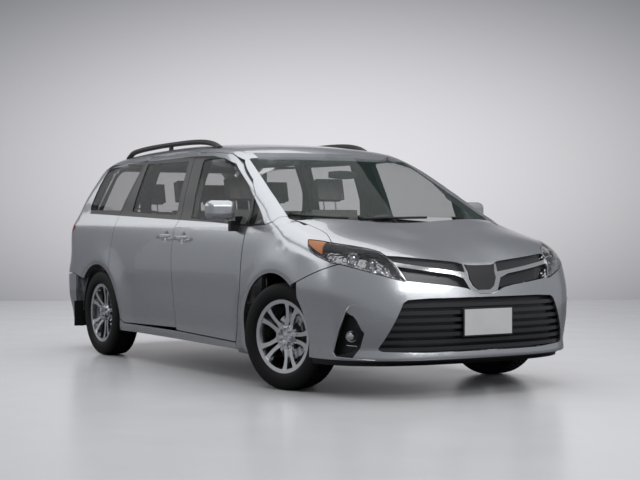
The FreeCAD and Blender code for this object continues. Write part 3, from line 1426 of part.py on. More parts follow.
def rail_bar(side):
    rows = 26
    first, last = rail_path_shares[0][0] * FORM, rail_path_shares[-1][0] * FORM
    turns = [math.cos(math.pi * k / (rows - 1)) for k in range(rows)]
    places = [first + (last - first) * (1 - turn) / 2 for turn in turns]
    bar = Part.makeLoft([rail_section(x, side) for x in places], True)
    low, high = sorted(((rail_side - 0.012) * side, (rail_side + 0.012) * side))
    feet = []
    for x in (-0.78, -0.745):
        feet.append(box(x, x + 0.035, low, high, 1.69, 1.758))
    return join([bar] + feet[:1])


roof_rails = Part.makeCompound([rail_bar(-1), rail_bar(1)])
lifted = roof_panel.copy()
lifted.translate(Vector(0, 0, 2 * size.seat_gap))
roof_rails = roof_rails.cut(lifted)

# Names and files
for name, shape in (
    ("front_door", front_door), ("front_door_glass", front_pane), ("sliding_door", sliding_door),
    ("fender", fender), ("body_side", body_side), ("mirror", mirror),
):
    keep(name + "_right", shape)
    keep(name + "_left", mirrored(shape))
for side, word in ((-1, "right"), (1, "left")):
    keep("tyre_front_" + word, steered(tyre, side))
    keep("rim_front_" + word, steered(rim, side))
    keep("knuckle_" + word, knuckle_for(side))
    keep("tyre_rear_" + word, rear(tyre, side))
    keep("rim_rear_" + word, rear(rim, side))
side_panes = [quarter_pane, sliding_pane, light_pane]
for name, shape in (
    ("side_windows", Part.makeCompound(side_panes + [mirrored(pane) for pane in side_panes])),
    ("front_lamps", Part.makeCompound([lamp, mirrored(lamp), fog_lamp, mirrored(fog_lamp)])),
    ("lamp_bowls", Part.makeCompound([lamp_bowl, mirrored(lamp_bowl)])),
    ("upper_grille", upper_plate), ("grille_wings", wings), ("badge_housing", badge),
    ("lower_grille", lower_grille), ("front_valance", valance),
    ("fog_bezels", Part.makeCompound([fog_bezel, mirrored(fog_bezel)])),
    ("tail_lamps", Part.makeCompound([tail_lamp, mirrored(tail_lamp)])),
    ("windshield", windshield), ("hood", hood), ("front_bumper", front_bumper),
    ("rear_bumper", rear_bumper), ("liftgate", liftgate),
    ("liftgate_glass", gate_pane), ("roof_panel", roof_panel), ("roof_rails", roof_rails),
    ("floor_pan", floor_pan), ("front_seats", front_seats), ("rear_seats", rear_seats),
    ("dashboard", dashboard), ("engine", engine), ("front_subframe", subframe),
    ("rear_axle", rear_axle), ("fuel_tank", tank), ("exhaust", exhaust),
    ("mud_flaps", mud_flaps), ("number_plate", plate), ("cowl", cowl),
):
    keep(name, shape)

doc.recompute()
os.makedirs("parts", exist_ok=True)
for name, item in pieces.items():
    if item.Shape.isNull() or not item.Shape.isValid():
        print("bad shape", name)
    item.Shape.exportStep(f"parts/{name}.step")
    print(name, len(item.Shape.Solids), round(item.Shape.Volume / 1e9, 4))
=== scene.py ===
"""The minivan's looks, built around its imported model. Everything is in metres, in the model's own frame."""
import json
import math

import bmesh
import bpy
from mathutils import Matrix, Vector


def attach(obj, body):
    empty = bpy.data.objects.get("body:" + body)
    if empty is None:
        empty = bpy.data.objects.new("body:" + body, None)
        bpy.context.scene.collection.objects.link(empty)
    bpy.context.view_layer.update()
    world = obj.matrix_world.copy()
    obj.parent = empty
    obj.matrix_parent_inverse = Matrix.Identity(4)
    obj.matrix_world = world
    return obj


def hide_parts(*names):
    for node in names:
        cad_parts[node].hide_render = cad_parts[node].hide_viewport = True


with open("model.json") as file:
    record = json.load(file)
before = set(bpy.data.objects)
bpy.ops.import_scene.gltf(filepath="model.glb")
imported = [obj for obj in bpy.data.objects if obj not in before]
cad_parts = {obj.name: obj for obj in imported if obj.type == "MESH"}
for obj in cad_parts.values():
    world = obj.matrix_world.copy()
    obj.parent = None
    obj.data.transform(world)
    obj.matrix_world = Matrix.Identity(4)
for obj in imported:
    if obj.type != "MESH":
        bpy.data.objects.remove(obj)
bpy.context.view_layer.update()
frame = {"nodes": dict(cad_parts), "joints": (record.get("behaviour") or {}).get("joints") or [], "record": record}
nodes = frame["nodes"]
scene = bpy.context.scene

SILVER_DARK = (0.50, 0.515, 0.54)
SILVER_PALE = (0.70, 0.72, 0.75)
BAND_BLACK = (0.012, 0.012, 0.013)
FLAKES = 2600.0
PAINT_METAL = 0.88
WEAVE = 700.0


def feed(tree, socket, item):
    """Links a Value to a socket, or sets the socket to a plain number or colour."""
    if isinstance(item, Value):
        tree.links.new(item.socket, socket)
    else:
        socket.default_value = item


class Value:
    """A shader socket that can be used in plain sums."""

    def __init__(self, tree, socket):
        self.tree = tree
        self.socket = socket

    def sum(self, kind, *others):
        node = self.tree.nodes.new("ShaderNodeMath")
        node.operation = kind
        for place, item in enumerate(others):
            feed(self.tree, node.inputs[place], item)
        return Value(self.tree, node.outputs[0])

    def __add__(self, other):
        return self.sum("ADD", self, other)

    def __radd__(self, other):
        return self.sum("ADD", other, self)

    def __sub__(self, other):
        return self.sum("SUBTRACT", self, other)

    def __rsub__(self, other):
        return self.sum("SUBTRACT", other, self)

    def __mul__(self, other):
        return self.sum("MULTIPLY", self, other)

    def __rmul__(self, other):
        return self.sum("MULTIPLY", other, self)

    def __truediv__(self, other):
        return self.sum("DIVIDE", self, other)

    def __pow__(self, other):
        return self.sum("POWER", self, other)

    def __neg__(self):
        return self.sum("MULTIPLY", self, -1)

    def __lt__(self, other):
        return self.sum("LESS_THAN", self, other)

    def __gt__(self, other):
        return self.sum("GREATER_THAN", self, other)

    def lower(self, other):
        return self.sum("MINIMUM", self, other)

    def higher(self, other):
        return self.sum("MAXIMUM", self, other)

    def size(self):
        return self.sum("ABSOLUTE", self)

    def wave(self):
        return self.sum("SINE", self)

    def within(self):
        """Kept between 0 and 1."""
        return self.higher(0).lower(1)


class Finish:
    """A material with a Principled surface, made from sums of Values."""

    def __init__(self, name, colour, rough=0.5, metal=0.0, **more):
        self.material = bpy.data.materials.new(name)
        self.material.use_nodes = True
        self.tree = self.material.node_tree
        self.surface = self.tree.nodes["Principled BSDF"]
        self.set("Base Color", (*colour, 1))
        self.set("Roughness", rough)
        self.set("Metallic", metal)
        for key, item in more.items():
            self.set(key.replace("_", " "), item)

    def set(self, socket, item):
        feed(self.tree, self.surface.inputs[socket], item)

    def node(self, kind, output, **inputs):
        node = self.tree.nodes.new(kind)
        for key, item in inputs.items():
            feed(self.tree, node.inputs[key.replace("_", " ")], item)
        return Value(self.tree, node.outputs[output])

    def place(self):
        return self.node("ShaderNodeTexCoord", "Object")

    def axes(self, names):
        """Where a point lies along each of the named axes."""
        return [self.node("ShaderNodeSeparateXYZ", name, Vector=self.place()) for name in names]

    def noise(self, scale, detail=2.0):
        return self.node("ShaderNodeTexNoise", "Fac", Vector=self.place(), Scale=scale, Detail=detail)

    def cells(self, scale):
        return self.node("ShaderNodeTexVoronoi", "Distance", Vector=self.place(), Scale=scale)

    def facing(self):
        """How far the surface turns away from the view; unlike Fresnel, it is the same from behind."""
        return self.node("ShaderNodeLayerWeight", "Facing", Blend=0.5) ** 3.0

    def mix(self, share, first, second):
        """A colour between two; inputs 0, 6 and 7 of the node are its share and its colours."""
        node = self.tree.nodes.new("ShaderNodeMix")
        node.data_type = "RGBA"
        feed(self.tree, node.inputs[0], share)
        for place, colour in ((6, first), (7, second)):
            feed(self.tree, node.inputs[place], colour if isinstance(colour, Value) else (*colour, 1))
        return Value(self.tree, node.outputs[2])

    def flakes(self):
        return self.mix(self.noise(FLAKES, 1.0), SILVER_DARK, SILVER_PALE)

    def bump(self, height, strength, depth):
        self.set("Normal", self.node("ShaderNodeBump", "Normal", Height=height,
                                     Strength=strength, Distance=depth))


# The windows' black band: corners along and up, of its top edge and of its lower one from the front
BAND_TOP = [
    (-1.921, 1.216), (-1.862, 1.259), (-1.690, 1.583), (-1.618, 1.608), (-0.990, 1.624), (-0.182, 1.631),
    (0.189, 1.621), (0.430, 1.586), (0.629, 1.522), (0.919, 1.378), (1.128, 1.235), (1.284, 1.120),
]
BAND_LOW = [(1.310, 1.080), (0.544, 1.118), (-1.915, 1.202)]

# The handles' cups: their middles along and up, their radius and depth
HANDLES = [(-0.216, 1.012), (0.087, 1.003)]
CUP_RADIUS = 0.047
CUP_DEPTH = 0.016

# The black room round a fog lamp: its corners along the bumper's corner and up
FOG_ROOM = [
    (0.350, 0.270), (0.332, 0.297), (0.366, 0.435), (0.410, 0.557), (0.471, 0.511), (0.520, 0.415),
    (0.500, 0.330), (0.450, 0.265),
]

# The bumper's right corner, seen from above: the way along it and the way out of it
CORNER_ALONG = Vector((0.522, 0.853, 0))
CORNER_OUT = Vector((0.853, -0.522, 0))


def side_of(x, z, first, second):
    """Distance of a place above the line through two points, along and up."""
    along, up = second[0] - first[0], second[1] - first[1]
    long = math.hypot(along, up)
    return (z - first[1]) * (along / long) - (x - first[0]) * (up / long)


def below(x, z, corners):
    """How far a place is below the nearest of the lines through neighbouring corners."""
    inside = None
    for first, second in zip(corners, corners[1:]):
        room = -side_of(x, z, first, second)
        inside = room if inside is None else inside.lower(room)
    return inside


def darker(colour, share):
    return tuple(part * share for part in colour)


def paint_finish(name, banded=False):
    """Silver paint; the banded one is black round the windows and has the handles' cups."""
    made = Finish(name, (0.30, 0.315, 0.32), 0.28, PAINT_METAL, Coat_Weight=1.0, Coat_Roughness=0.03)
    flake = made.noise(FLAKES, 1.0)
    cloud = made.noise(3.0)
    tone = (flake - 0.5) * 0.30 + (cloud - 0.5) * 0.05 + 0.5
    colour = made.mix(tone.within(), SILVER_DARK, SILVER_PALE)
    rough = 0.25 + (flake - 0.5) * 0.10
    if not banded:
        made.set("Base Color", colour)
        made.set("Roughness", rough)
        return made
    x, z = made.axes("XZ")
    front_low, rear_low = [side_of(x, z, second, first) for first, second in zip(BAND_LOW, BAND_LOW[1:])]
    band = below(x, z, BAND_TOP).lower(front_low.higher(rear_low)) > 0.0
    made.set("Base Color", made.mix(band, colour, BAND_BLACK))
    made.set("Roughness", rough * (1.0 - band) + band * 0.30)
    made.set("Metallic", (1.0 - band) * PAINT_METAL)
    made.set("Coat Weight", 1.0 - band * 0.9)
    cups = 0.0
    for along, up in HANDLES:
        away = ((x - along) * (x - along) + (z - up) * (z - up)) ** 0.5
        cup = (1.0 - away / CUP_RADIUS).within()
        cups = cups + cup * cup * (3.0 - 2.0 * cup)
    made.bump(-cups, 1.0, CUP_DEPTH)
    return made


def glass_finish(name, tint, low, high):
    """Glass that hides least where it is seen square on, and most at its edges."""
    made = Finish(name, tint, 0.02, 0.0, IOR=1.52)
    dust = made.noise(14.0, 3.0)
    made.set("Alpha", (low + made.facing() * (high - low) + (dust - 0.5) * 0.01).within())
    return made


def plastic_finish(name, colour, rough, depth=0.00025):
    made = Finish(name, colour, rough)
    speck = made.noise(900.0)
    made.set("Roughness", rough + (speck - 0.5) * 0.16)
    made.set("Base Color", made.mix(made.noise(6.0), darker(colour, 0.82), colour))
    made.bump(speck, 0.25, depth)
    return made


def chrome_finish(name, colour, rough):
    made = Finish(name, colour, rough, 1.0)
    haze = made.noise(40.0, 3.0)
    made.set("Roughness", rough + (haze - 0.5) * 0.06)
    return made


def tyre_finish():
    made = Finish("tyre_rubber", BAND_BLACK, 0.7, Specular_IOR_Level=0.3)
    speck = made.noise(420.0, 3.0)
    dust = made.noise(9.0, 3.0)
    made.set("Base Color", made.mix(dust, (0.007, 0.007, 0.008), (0.014, 0.014, 0.014)))
    made.set("Roughness", 0.62 + (speck - 0.5) * 0.2)
    made.bump(speck, 0.2, 0.0004)
    return made


def cloth_finish(name, colour):
    made = Finish(name, colour, 0.9, 0.0, Sheen_Weight=0.25)
    x, y, z = made.axes("XYZ")
    weave = ((x + z) * WEAVE).wave() * (y * WEAVE).wave()
    shade = (weave * 0.3 + made.noise(30.0, 3.0)).within()
    made.set("Base Color", made.mix(shade, darker(colour, 0.7), colour))
    made.bump(weave, 0.35, 0.0006)
    return made


def metal_finish(name, colour, rough):
    made = Finish(name, colour, rough, 0.9)
    cast = made.noise(160.0, 4.0)
    stain = made.noise(7.0, 3.0)
    made.set("Base Color", made.mix(stain, darker(colour, 0.6), colour))
    made.set("Roughness", rough + (cast - 0.5) * 0.3)
    made.bump(cast, 0.3, 0.0006)
    return made


def mirror_finish():
    """Paint with a black foot, inboard and low."""
    made = paint_finish("mirror_paint")
    y, z = made.axes("YZ")
    foot = ((y.size() < 0.985) * (z < 1.2) + (z < 1.128)).within()
    made.set("Coat Weight", 1.0 - foot)
    made.set("Metallic", (1.0 - foot) * 0.75)
    made.set("Base Color", made.mix(foot, made.flakes(), (0.014, 0.014, 0.015)))
    return made


def lamp_finish():
    """Clear glass with an amber corner at its rear end."""
    made = glass_finish("lamp_cover", (0.75, 0.78, 0.8), 0.10, 0.75)
    x, z = made.axes("XZ")
    corner = ((x * 0.057 + z * 0.046) < 0.1587) * ((x * 0.046 + z * 0.121) > 0.2045)
    made.set("Base Color", made.mix(corner, (0.20, 0.21, 0.22), (0.62, 0.21, 0.045)))
    made.set("Alpha", (0.08 + made.facing() * 0.35 + corner * 0.66).within())
    return made


def bumper_finish():
    """Paint with a black room round each fog lamp."""
    made = paint_finish("bumper_paint")
    x, y, z = made.axes("XYZ")
    along = x * CORNER_ALONG.x - y.size() * CORNER_ALONG.y
    room = below(along, z, FOG_ROOM + FOG_ROOM[:1]) > 0.0
    made.set("Base Color", made.mix(room, made.flakes(), BAND_BLACK))
    made.set("Metallic", (1.0 - room) * PAINT_METAL)
    made.set("Coat Weight", 1.0 - room * 0.8)
    return made


PAINT = paint_finish("silver_paint")
BUMPER = bumper_finish()
BANDED = paint_finish("side_paint", True)
MIRROR = mirror_finish()
GLASS = glass_finish("tinted_glass", (0.012, 0.016, 0.017), 0.16, 0.80)
SCREEN = glass_finish("screen_glass", (0.030, 0.060, 0.050), 0.10, 0.55)
LAMP = lamp_finish()
RED = glass_finish("red_lens", (0.35, 0.01, 0.012), 0.86, 0.99)
BLACK = plastic_finish("black_plastic", (0.022, 0.022, 0.024), 0.45)
TRIM = plastic_finish("grille_trim", (0.045, 0.047, 0.052), 0.22, 0.0001)
PLATE = plastic_finish("plate_blank", (0.88, 0.89, 0.90), 0.4)
STEEL = metal_finish("frame_steel", (0.035, 0.035, 0.038), 0.6)
IRON = metal_finish("cast_iron", (0.12, 0.118, 0.115), 0.55)
TYRE = tyre_finish()
CHROME = chrome_finish("bright_trim", (0.80, 0.81, 0.82), 0.12)
ALLOY = chrome_finish("alloy_wheel", (0.86, 0.87, 0.89), 0.20)
BOWL = chrome_finish("lamp_bowl", (0.42, 0.425, 0.44), 0.10)
BOWL.bump(BOWL.cells(46.0), 0.9, 0.008)
SEAT = cloth_finish("seat_cloth", (0.42, 0.41, 0.39))
DASH = plastic_finish("dash_plastic", (0.10, 0.10, 0.105), 0.6)

# The finish of each material slot, and of the nodes that differ from their slot, by the start of their name
SLOTS = {
    "paint": PAINT, "glass": GLASS, "lamp_clear": LAMP, "lamp_red": RED, "black_plastic": BLACK,
    "grille_trim": TRIM, "plate": PLATE, "frame_steel": STEEL, "cast_iron": IRON, "tyre": TYRE,
    "chrome": CHROME, "trim_cloth": SEAT, "dash": DASH, "lamp_bowl": BOWL,
}
DIFFERENT = [
    (("front_door_right", "front_door_left", "sliding_door", "body_side"), BANDED),
    ("mirror", MIRROR), ("rim", ALLOY), ("front_bumper", BUMPER), ("windshield", SCREEN),
]
for part in frame["record"]["subparts"]:
    made = SLOTS[part["material_slot"]]
    for names, other in DIFFERENT:
        if part["node"].startswith(names):
            made = other
    item = nodes[part["node"]]
    item.data.materials.clear()
    item.data.materials.append(made.material)


# Shaping by hand: a primitive, then one edit-mode step at a time
LYING_ACROSS = (math.pi / 2, 0, 0)
SQUARE_ON = 0.9


def hold(*pieces):
    """Only these pieces are selected, in object mode."""
    if bpy.context.object is not None and bpy.context.object.mode != "OBJECT":
        bpy.ops.object.mode_set(mode="OBJECT")
    bpy.ops.object.select_all(action="DESELECT")
    for piece in pieces:
        piece.select_set(True)
    if pieces:
        bpy.context.view_layer.objects.active = pieces[-1]


def settle(piece):
    hold(piece)
    bpy.ops.object.transform_apply(location=True, rotation=True, scale=True)


def start(kind, name, scale=(1, 1, 1), **sizes):
    hold()
    getattr(bpy.ops.mesh, f"primitive_{kind}_add")(**sizes)
    piece = bpy.context.object
    piece.name = name
    piece.scale = scale
    settle(piece)
    return piece


def shape(piece, test, action, mode="FACE", **how):
    """One edit-mode step on the faces, edges or points that pass the test."""
    hold(piece)
    bpy.ops.object.mode_set(mode="EDIT")
    bpy.ops.mesh.select_mode(type=mode)
    bpy.ops.mesh.select_all(action="DESELECT")
    cage = bmesh.from_edit_mesh(piece.data)
    rows = {"FACE": cage.faces, "EDGE": cage.edges, "VERT": cage.verts}[mode]
    for item in rows:
        item.select_set(bool(test(item)))
    bmesh.update_edit_mesh(piece.data)
    action(**how)
    bpy.ops.object.mode_set(mode="OBJECT")


def everything(item):
    return True


def many_sided(face):
    return len(face.verts) > 10


def looking(axis, way, also=everything):
    """A test for the faces that look along an axis, one way or the other."""
    place = "XYZ".index(axis)
    return lambda face: face.normal[place] * way > SQUARE_ON and also(face)


def moved(piece, test, value, mode="VERT"):
    shape(piece, test, bpy.ops.transform.translate, mode, value=value)


def scaled(piece, test, value, middle=(0, 0, 0)):
    shape(piece, test, bpy.ops.transform.resize, "VERT", value=value, center_override=middle)


def inset(piece, test, thickness, **more):
    shape(piece, test, bpy.ops.mesh.inset, thickness=thickness, **more)


def drawn_out(piece, test, value):
    shape(piece, test, bpy.ops.mesh.extrude_region_move, TRANSFORM_OT_translate={"value": value})


def divided(piece, cuts):
    shape(piece, everything, bpy.ops.mesh.subdivide, number_cuts=cuts)


def turned_out(piece):
    """Every face looks outward."""
    shape(piece, everything, bpy.ops.mesh.normals_make_consistent, inside=False)


def modify(piece, kind, **settings):
    hold(piece)
    added = piece.modifiers.new(kind.lower(), kind)
    for key, item in settings.items():
        setattr(added, key, item)
    bpy.ops.object.modifier_apply(modifier=added.name)


def bevelled(piece, width, **more):
    modify(piece, "BEVEL", width=width, segments=2, **more)


def smoothed(piece, levels):
    modify(piece, "SUBSURF", levels=levels, render_levels=levels)


def done(piece, made, body, smooth=35.0):
    """The last steps of every piece: its finish, its smooth angle and the body it rides on."""
    hold(piece)
    piece.data.name = piece.name
    piece.data.materials.clear()
    piece.data.materials.append(made.material)
    bpy.ops.object.shade_smooth_by_angle(angle=math.radians(smooth))
    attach(piece, body)
    return piece


def again(piece, name):
    hold(piece)
    bpy.ops.object.duplicate()
    copy = bpy.context.object
    copy.name = name
    settle(copy)
    return copy


def opposite(piece, name):
    """The same piece on the left side, before it rides on a body."""
    copy = again(piece, name)
    copy.scale = (1, -1, 1)
    settle(copy)
    turned_out(copy)
    return copy


def pair(piece, made, right, left):
    """Finishes a right piece and its left copy."""
    other = opposite(piece, piece.name.replace("right", "left"))
    done(piece, made, right)
    done(other, made, left)


def cord_of(name, points, radius, sides=3):
    """A round bar along a smooth path."""
    hold()
    bpy.ops.curve.primitive_nurbs_path_add()
    bar = bpy.context.object
    bar.name = name
    line = bar.data.splines[0]
    if len(points) > len(line.points):
        line.points.add(len(points) - len(line.points))
    spare = len(line.points) - len(points)
    points = list(points) + [points[-1]] * spare
    for spot, place in zip(line.points, points):
        spot.co = (*place, 1)
    line.use_endpoint_u = True
    line.order_u = 3
    bar.data.bevel_depth = radius
    bar.data.bevel_resolution = sides
    bar.data.use_fill_caps = True
    bar.data.resolution_u = 8
    bpy.ops.object.convert(target="MESH")
    bar = bpy.context.object
    settle(bar)
    return bar


def merged(name, *pieces):
    hold(*pieces)
    bpy.ops.object.join()
    joined = bpy.context.object
    joined.name = name
    return joined


def about(piece, spot, turn):
    """Turns a piece that was made about the origin, and puts it in its place."""
    piece.matrix_world = Matrix.Translation(spot) @ turn.to_4x4()
    settle(piece)


def struck(names, spot, way):
    """Where a ray meets each of the named nodes that it meets at all."""
    hits = [nodes[name].ray_cast(spot, way) for name in names]
    return [place for hit, place, normal, face in hits if hit]


# Door handles: a chrome bar on two feet over each round cup
HANDLE_SIZE = (0.236, 0.016, 0.030)
HANDLE_LEAN = 0.05
HANDLE_PROUD = 0.040


def handle(name, spot, node):
    x, z = spot
    skin = min(place.y for place in struck([node], Vector((x, -2, z)), Vector((0, 1, 0))))
    middle = (x, skin, z)
    bar = start("cube", name, HANDLE_SIZE, size=1, location=(x, skin - HANDLE_PROUD, z))
    divided(bar, 3)

    def tip(point):
        return abs(point.co.x - x) > 0.10

    def foot(face):
        return abs(face.normal.y - 1) < 0.01 and abs(abs(face.calc_center_median().x - x) - 0.086) < 0.03

    moved(bar, tip, (0, 0.014, 0))
    scaled(bar, tip, (1, 1, 0.72), middle)
    drawn_out(bar, foot, (0, HANDLE_PROUD, 0))
    shape(bar, everything, bpy.ops.transform.rotate, "VERT", value=HANDLE_LEAN, orient_axis="Y",
          center_override=middle)
    bevelled(bar, 0.004)
    smoothed(bar, 1)
    return bar


pair(handle("sliding_handle_right", HANDLES[0], "sliding_door_right"), CHROME, "body", "body")
pair(handle("front_handle_right", HANDLES[1], "front_door_right"), CHROME, "door_right", "door_left")


# Wheels: tyres, nuts with caps, and brakes, made about the origin and turned into place
TYRE_SECTION = [
    (0.2475, 0.092), (0.256, 0.104), (0.270, 0.1095), (0.290, 0.1114), (0.312, 0.1100),
    (0.330, 0.1060), (0.344, 0.0985), (0.3525, 0.0890), (0.3560, 0.0760), (0.3575, 0.0560),
    (0.3578, 0.0500), (0.3500, 0.0490), (0.3500, 0.0410), (0.3579, 0.0400), (0.3580, 0.0180),
    (0.3505, 0.0170), (0.3505, 0.0090), (0.3580, 0.0080),
]
TYRE_INSIDE = [
    (0.2445, -0.088), (0.300, -0.098), (0.340, -0.080), (0.345, 0.0), (0.340, 0.080), (0.300, 0.098),
    (0.2445, 0.088),
]
TYRE_STEPS = 120
TREAD_BLOCKS = 60
NUTS = 5
NUT_CIRCLE = 0.057
DISC_SPOT = (0, 0.020, 0)
CALIPER_SIZE = (0.060, 0.055, 0.130)
CALIPER_SPOT = (0.135, 0.020, 0.02)


def tyre(name):
    """A tyre about the Y axle: its section is spun, its tread blocks are inset and pushed in."""
    outline = TYRE_SECTION + [(radius, -across) for radius, across in reversed(TYRE_SECTION)] + TYRE_INSIDE
    piece = start("circle", name, vertices=len(outline), radius=0.1, location=(0.3, 0, 0))
    for place, (radius, across) in enumerate(outline):
        here = piece.data.vertices[place].co.copy()
        moved(piece, lambda v, place=place: v.index == place, Vector((radius, across, 0)) - here)
    shape(piece, everything, bpy.ops.mesh.spin, "EDGE", steps=TYRE_STEPS, angle=2 * math.pi,
          center=(0, 0, 0), axis=(0, 1, 0))
    shape(piece, everything, bpy.ops.mesh.remove_doubles, "VERT", threshold=0.0001)
    turned_out(piece)

    def block(face):
        middle = face.calc_center_median()
        radius = math.hypot(middle.x, middle.z)
        turn = math.atan2(middle.z, middle.x) / (2 * math.pi) * TREAD_BLOCKS
        return radius > 0.3545 and abs(middle.y) > 0.017 and (turn + middle.y * 8.0) % 1.0 < 0.5

    inset(piece, block, 0.0018, use_individual=True)
    shape(piece, block, bpy.ops.mesh.extrude_faces_move, TRANSFORM_OT_shrink_fatten={"value": -0.0035})
    return piece


def wheel_bits(name):
    """Nuts in their pockets and the plain cap, outboard towards minus Y."""
    bits = []
    for count in range(NUTS):
        turn = math.radians(90 + 360 / NUTS * count)
        spot = (NUT_CIRCLE * math.cos(turn), -0.036, NUT_CIRCLE * math.sin(turn))
        nut = start("cylinder", f"{name}_nut_{count}", vertices=6, radius=0.0105, depth=0.022,
                    location=spot, rotation=LYING_ACROSS)
        inset(nut, looking("Y", -1), 0.003)
        moved(nut, looking("Y", -1, lambda face: face.calc_area() < 0.0003), (0, -0.004, 0), "FACE")
        bevelled(nut, 0.001)
        bits.append(nut)
    cap = start("cylinder", f"{name}_cap", vertices=48, radius=0.029, depth=0.012,
                location=(0, -0.0565, 0), rotation=LYING_ACROSS)
    inset(cap, looking("Y", -1), 0.004)
    inset(cap, looking("Y", -1, many_sided), 0.010)
    moved(cap, looking("Y", -1, many_sided), (0, -0.0025, 0), "FACE")
    bits.append(cap)
    return merged(name, *bits)


def brake(name):
    """A brake disc with its hat, and a caliper behind the spokes."""
    disc = start("cylinder", name, vertices=72, radius=0.152, depth=0.014, location=DISC_SPOT,
                 rotation=LYING_ACROSS)
    inset(disc, looking("Y", -1), 0.060)
    drawn_out(disc, looking("Y", -1, many_sided), (0, -0.020, 0))
    caliper = start("cube", name + "_caliper", CALIPER_SIZE, size=1, location=CALIPER_SPOT)
    divided(caliper, 2)
    scaled(caliper, lambda v: v.co.x > 0.15, (1, 1, 0.7), (0.15, 0.02, 0.02))
    bevelled(caliper, 0.006)
    return merged(name, disc, caliper)


axles = {}
for joint in frame["joints"]:
    if joint["child"].startswith("wheel"):
        axles[joint["child"]] = (Vector(joint["pos_m"]), Vector(joint["axis"]))
master_tyre = tyre("tyre_master")
master_bits = wheel_bits("nuts_master")
master_brake = brake("brake_master")
for end in ("front", "rear"):
    for side in ("right", "left"):
        body = f"wheel_{end}_{side}"
        spot, axle = axles[body]
        outward = -1 if side == "right" else 1
        way = axle * (outward * (1 if axle.y > 0 else -1))
        turn = Vector((0, outward, 0)).rotation_difference(way).to_matrix()
        if side == "left":
            turn = turn @ Matrix.Rotation(math.pi, 3, "Z")
        piece = again(master_tyre, f"road_tyre_{end}_{side}")
        about(piece, spot, turn)
        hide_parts(f"tyre_{end}_{side}")
        done(piece, TYRE, body, 40.0)
        piece = again(master_bits, f"wheel_nuts_{end}_{side}")
        about(piece, spot, turn)
        done(piece, CHROME, body, 30.0)
        piece = again(master_brake, f"brake_{end}_{side}")
        about(piece, spot, turn)
        done(piece, IRON, f"steer_{side}" if end == "front" else "body", 30.0)
for spare in (master_tyre, master_bits, master_brake):
    bpy.data.objects.remove(spare)


# Lamps: a lens in a ring, in the two cups of each headlamp and in the fog lamp
LAMP_TURN = math.radians(22)


def lens(name, spot, radius):
    """A lens made looking up, and turned to look ahead and a little outboard."""
    piece = start("uv_sphere", name, segments=32, ring_count=16, radius=radius * 0.78, location=(0, 0, 0))
    scaled(piece, lambda v: v.co.z < 0, (1, 1, 0.1))
    scaled(piece, everything, (1, 1, 0.6))
    ring = start("torus", name + "_ring", major_radius=radius * 0.84, minor_radius=0.0028,
                 major_segments=48, minor_segments=10)
    scaled(ring, lambda v: v.co.z > 0, (1, 1, 1.6))
    piece = merged(name, piece, ring)
    turn = Vector((math.cos(LAMP_TURN), -math.sin(LAMP_TURN), 0)).to_track_quat("Z", "Y")
    about(piece, Vector(spot), turn.to_matrix())
    return piece


pair(lens("main_lens_right", (2.178, -0.801, 0.882), 0.038), CHROME, "body", "body")
pair(lens("side_lens_right", (2.264, -0.714, 0.851), 0.033), CHROME, "body", "body")
pair(lens("fog_lens_right", (2.226, -0.8415, 0.397), 0.041), ALLOY, "body", "body")


# A black frame round the blank plate
plate_frame = start("cube", "plate_frame", (0.006, 0.400, 0.185), size=1, location=(2.5375, 0, 0.4785))
inset(plate_frame, looking("X", 1), 0.009)
drawn_out(plate_frame, looking("X", 1, lambda face: face.calc_area() > 0.05), (-0.004, 0, 0))
bevelled(plate_frame, 0.001)
done(plate_frame, BLACK, "body")


# Bright edges of the fog lamp frames, laid on the front corner
FOG_EDGE = [
    (0.470, 0.600), (0.428, 0.588), (0.406, 0.557), (0.363, 0.435), (0.330, 0.343), (0.326, 0.295),
    (0.345, 0.267), (0.438, 0.259), (0.590, 0.253),
]
FOG_STRIP = [(0.380, 0.345), (0.430, 0.336), (0.480, 0.333)]
LAID_STEPS = 4


def corner_at(along, up):
    """A place on the bumper's right corner, met square on."""
    spot = CORNER_ALONG * along + Vector((0, 0, up)) + CORNER_OUT * 4
    near = struck(("front_bumper", "fog_bezels"), spot, -CORNER_OUT)
    return max(near, key=lambda place: place.dot(CORNER_OUT))


def laid_bar(name, line, radius):
    """A round bar that follows the bumper's corner."""
    spots = []
    for first, second in zip(line, line[1:]):
        for step in range(LAID_STEPS):
            share = step / LAID_STEPS
            spots.append([first[k] + (second[k] - first[k]) * share for k in (0, 1)])
    spots.append(line[-1])
    return cord_of(name, [corner_at(along, up) for along, up in spots], radius, 2)


pair(laid_bar("fog_edge_right", FOG_EDGE, 0.0035), CHROME, "body", "body")
pair(laid_bar("fog_strip_right", FOG_STRIP, 0.005), CHROME, "body", "body")


# Tail: a bright strip, a wiper and a blank plate on the liftgate, and reflectors in the bumper
STRIP_UP = 0.985
STRIP_ACROSS = (-0.44, -0.3, -0.15, 0, 0.15, 0.3, 0.44)
GATE_WIPER = ((0.0, 1.215), (-0.12, 1.235), (-0.25, 1.255), (-0.36, 1.27))
PLATE_UP = 0.84
REFLECTOR = (-0.70, 0.46)


def back_at(y, z, node="liftgate", lift=0.0):
    """A place on the tail, met from straight behind."""
    spot = struck([node], Vector((-4, y, z)), Vector((1, 0, 0)))[0]
    return spot - Vector((lift, 0, 0))


